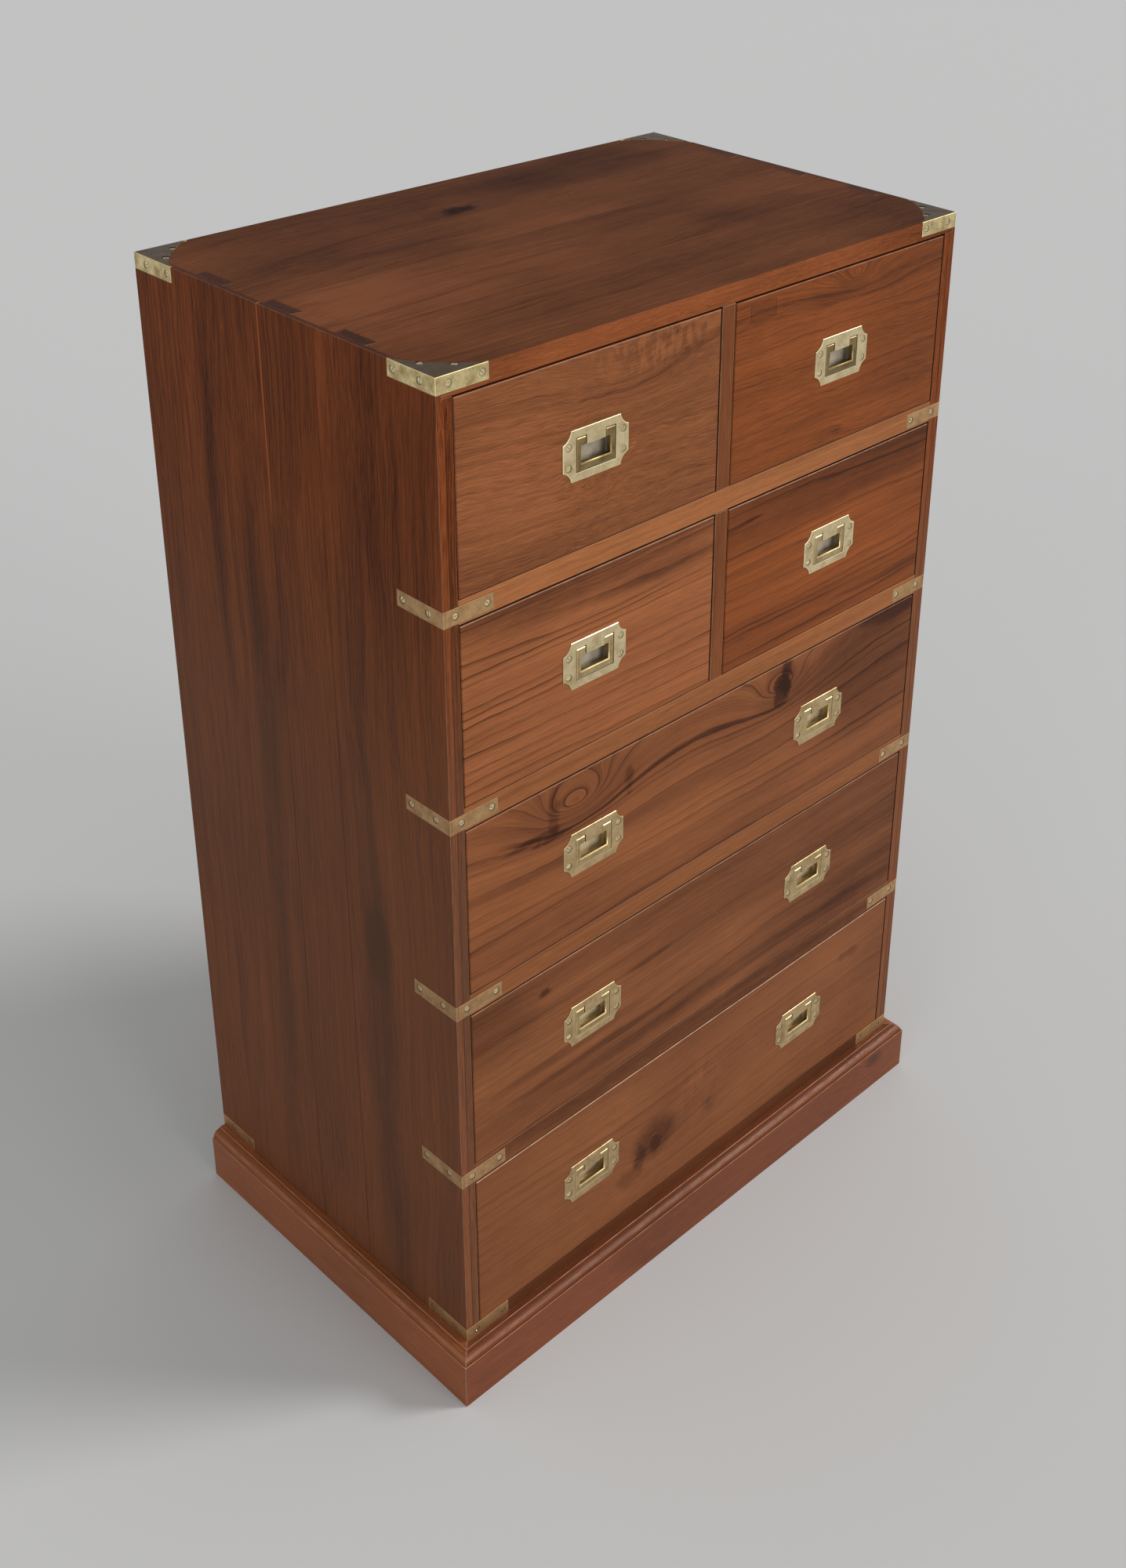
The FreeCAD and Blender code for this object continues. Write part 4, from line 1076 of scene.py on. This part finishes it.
# The top colour of the corner plates is tarnish and a painted dark reflection.
mount_brass = brass("mount_brass", (240, 220, 166), (150, 124, 74), amount=0.85, matt=0.24,
                    top=(94, 68, 38))
strap_brass = brass("strap_brass", (200, 162, 116), (150, 115, 80), amount=0.8, matt=0.4, seed=2.3)
# The screw heads are painted paler than the plates: a painted highlight of their glints.
screw_highlight_brass = brass("screw_highlight_brass", (246, 228, 186), (194, 168, 124), amount=0.45, matt=0.2, seed=5.1)


def inner_edge(face):
    """Whether a face lies at the inner edge of a corner plate."""
    middle = face.calc_center_median()
    inset = min(HALF_WIDTH - abs(middle.x), middle.y - FRONT_Y, BACK_Y - middle.y)
    return inset > INNER_EDGE


for node, places, folds, finish, arris in (
        ("top_corner_mounts", mount_places, (), mount_brass, MOUNT_ARRIS),
        ("corner_straps", strap_places, strap_folds, strap_brass, BRASS_ARRIS)):
    places = with_turns(places)
    shape = merged_copy(node)
    break_edges(shape, arris)
    mark(shape, EDGE_WEAR_AND_HIGHLIGHT, 0.0, inner_edge)
    shape = countersunk(shape, places, folds)
    finished(f"{node}_dressed", shape, CARCASS, [finish], [node], smooth=BRASS_SMOOTH)
    screws(f"{node}_screws", places, CARCASS, screw_highlight_brass)
    print(node, len(places), "screws")

# %% [markdown]
# A handle is a cusped plate with a pan let in behind it, held by four screws in its ears. The walls of
# the opening are painted dark, a painted shade, less so inside the pan, and the pan is painted pale,
# painted light in its recess, palest in the lower rows. The plates of the two upper rows are paler
# than those of the lower ones. Plates and screws ride on the drawer.

# %% Handle plates
handle_brass = brass("handle_brass", (240, 220, 176), (180, 156, 110), amount=0.75, matt=0.24, seed=1.7)
low_handle_brass = brass("low_handle_brass", (214, 187, 140), (154, 127, 87), amount=0.8,
                         matt=0.28, seed=4.7)
# The pans are painted pale: painted light that lifts the shade of their recess.
pan_painted_light_brass = brass("pan_painted_light_brass", (196, 182, 160), (160, 146, 124), amount=0.8, matt=0.5, seed=3.9,
                  metal=0.1)
low_pan_painted_light_brass = brass("low_pan_painted_light_brass", (240, 220, 178), (212, 188, 144), amount=0.8, matt=0.4,
                      seed=6.2, metal=0.4)
HIGH_ROWS = ("upper", "second")
HIGH_METALS = [handle_brass, pan_painted_light_brass]
LOW_METALS = [low_handle_brass, low_pan_painted_light_brass]
PAN_START = 0.003
# Faces that look into the opening are painted dark, a painted shade: the walls strongly, the pan's
# walls lightly.
PAN_SHADE = 0.15
WALL_SHADE = 0.7
EAR_SCREW_X = 0.0335
EAR_SCREW_Z = 0.01
PLATE_HALF_WIDTH = 0.0405
for drawer in DRAWER_FIGURE:
    node = f"{drawer}_drawer_plates"
    body = f"{drawer}_drawer"
    low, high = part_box(node)
    pan_y = low.y + PAN_START
    plate_xs = sorted({round(low.x + PLATE_HALF_WIDTH, 4), round(high.x - PLATE_HALF_WIDTH, 4)})
    plate_z = (low.z + high.z) / 2
    places = with_turns([((x + x_hand * EAR_SCREW_X, low.y, plate_z + z_hand * EAR_SCREW_Z), (0, -1, 0))
                         for x in plate_xs for x_hand in (-1, 1) for z_hand in (-1, 1)])
    shape = merged_copy(node)
    mark(shape, SHADE_AND_GRIME, WALL_SHADE, faces_gap)
    mark(shape, SHADE_AND_GRIME, PAN_SHADE, lambda face: faces_gap(face) and face.calc_center_median().y > pan_y)
    break_edges(shape, BRASS_ARRIS)
    shape = countersunk(shape, places)
    for face in shape.faces:
        face.material_index = int(face.calc_center_median().y > pan_y)
    metals = HIGH_METALS if drawer.startswith(HIGH_ROWS) else LOW_METALS
    finished(f"{node}_dressed", shape, body, metals, [node], smooth=BRASS_SMOOTH)
    screws(f"{node}_screws", places, body, screw_highlight_brass)
    print(node, len(places), "screws")

# %% [markdown]
# A bail lies in each pan and is pulled out by a finger. The bails swing, so each is a piece of its
# own on its own body. Those of the top row are the darkest.

# %% Bails
TOP_ROW = "upper"
# Bail faces that do not face the front are painted darker: a painted shade round the bail.
BAIL_SHADE = 0.2
top_bail_brass = brass("top_bail_brass", (158, 136, 92), (96, 78, 46), amount=0.8, matt=0.24, seed=8.3)
bail_brass = brass("bail_brass", (206, 182, 134), (144, 120, 80), amount=0.8, matt=0.24, seed=8.3)
for node in [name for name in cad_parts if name.endswith("_bail")]:
    finish = top_bail_brass if node.startswith(TOP_ROW) else bail_brass
    softened(node, node, finish, BRASS_ARRIS, BAIL_SHADE)

# %% [markdown]
# The rest of the chest is out of the light: drawer linings, runners, guides and the back. These
# solids are right as they are, so each only gets a wood of its own, paler for the linings and dusty
# for the back.

# %% Hidden woods
# Each wood has a name, a board, its light and its dark colour, line, seed, matt level and solids.
HIDDEN_WOODS = (
    ("lining_teak", "yx", (190, 148, 100), (136, 96, 60), 0.2, 15, 0.6,
     [f"{drawer}_drawer_box" for drawer in DRAWER_FIGURE]),
    ("lining_floor_teak", "xz", (184, 142, 96), (132, 92, 58), 0.2, 17, 0.6,
     [f"{drawer}_drawer_bottom" for drawer in DRAWER_FIGURE]),
    ("inner_teak", "yz", (146, 102, 66), (92, 60, 38), 0.2, 19, 0.65,
     ["drawer_runners", "centre_guides", "drawer_stops", "glue_blocks", "plinth_back"]),
    ("back_teak", "zy", (128, 86, 56), (76, 48, 30), 0.3, 21, 0.6, ["back_boards"]))
for name, board, light, dark, line, seed, matt, nodes in HIDDEN_WOODS:
    finish = teak(name, board, light, dark, line=line, seed=seed, matt=matt)
    for node in nodes:
        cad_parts[node].data.materials.clear()
        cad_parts[node].data.materials.append(finish)
    print(name, "on", len(nodes), "solids")
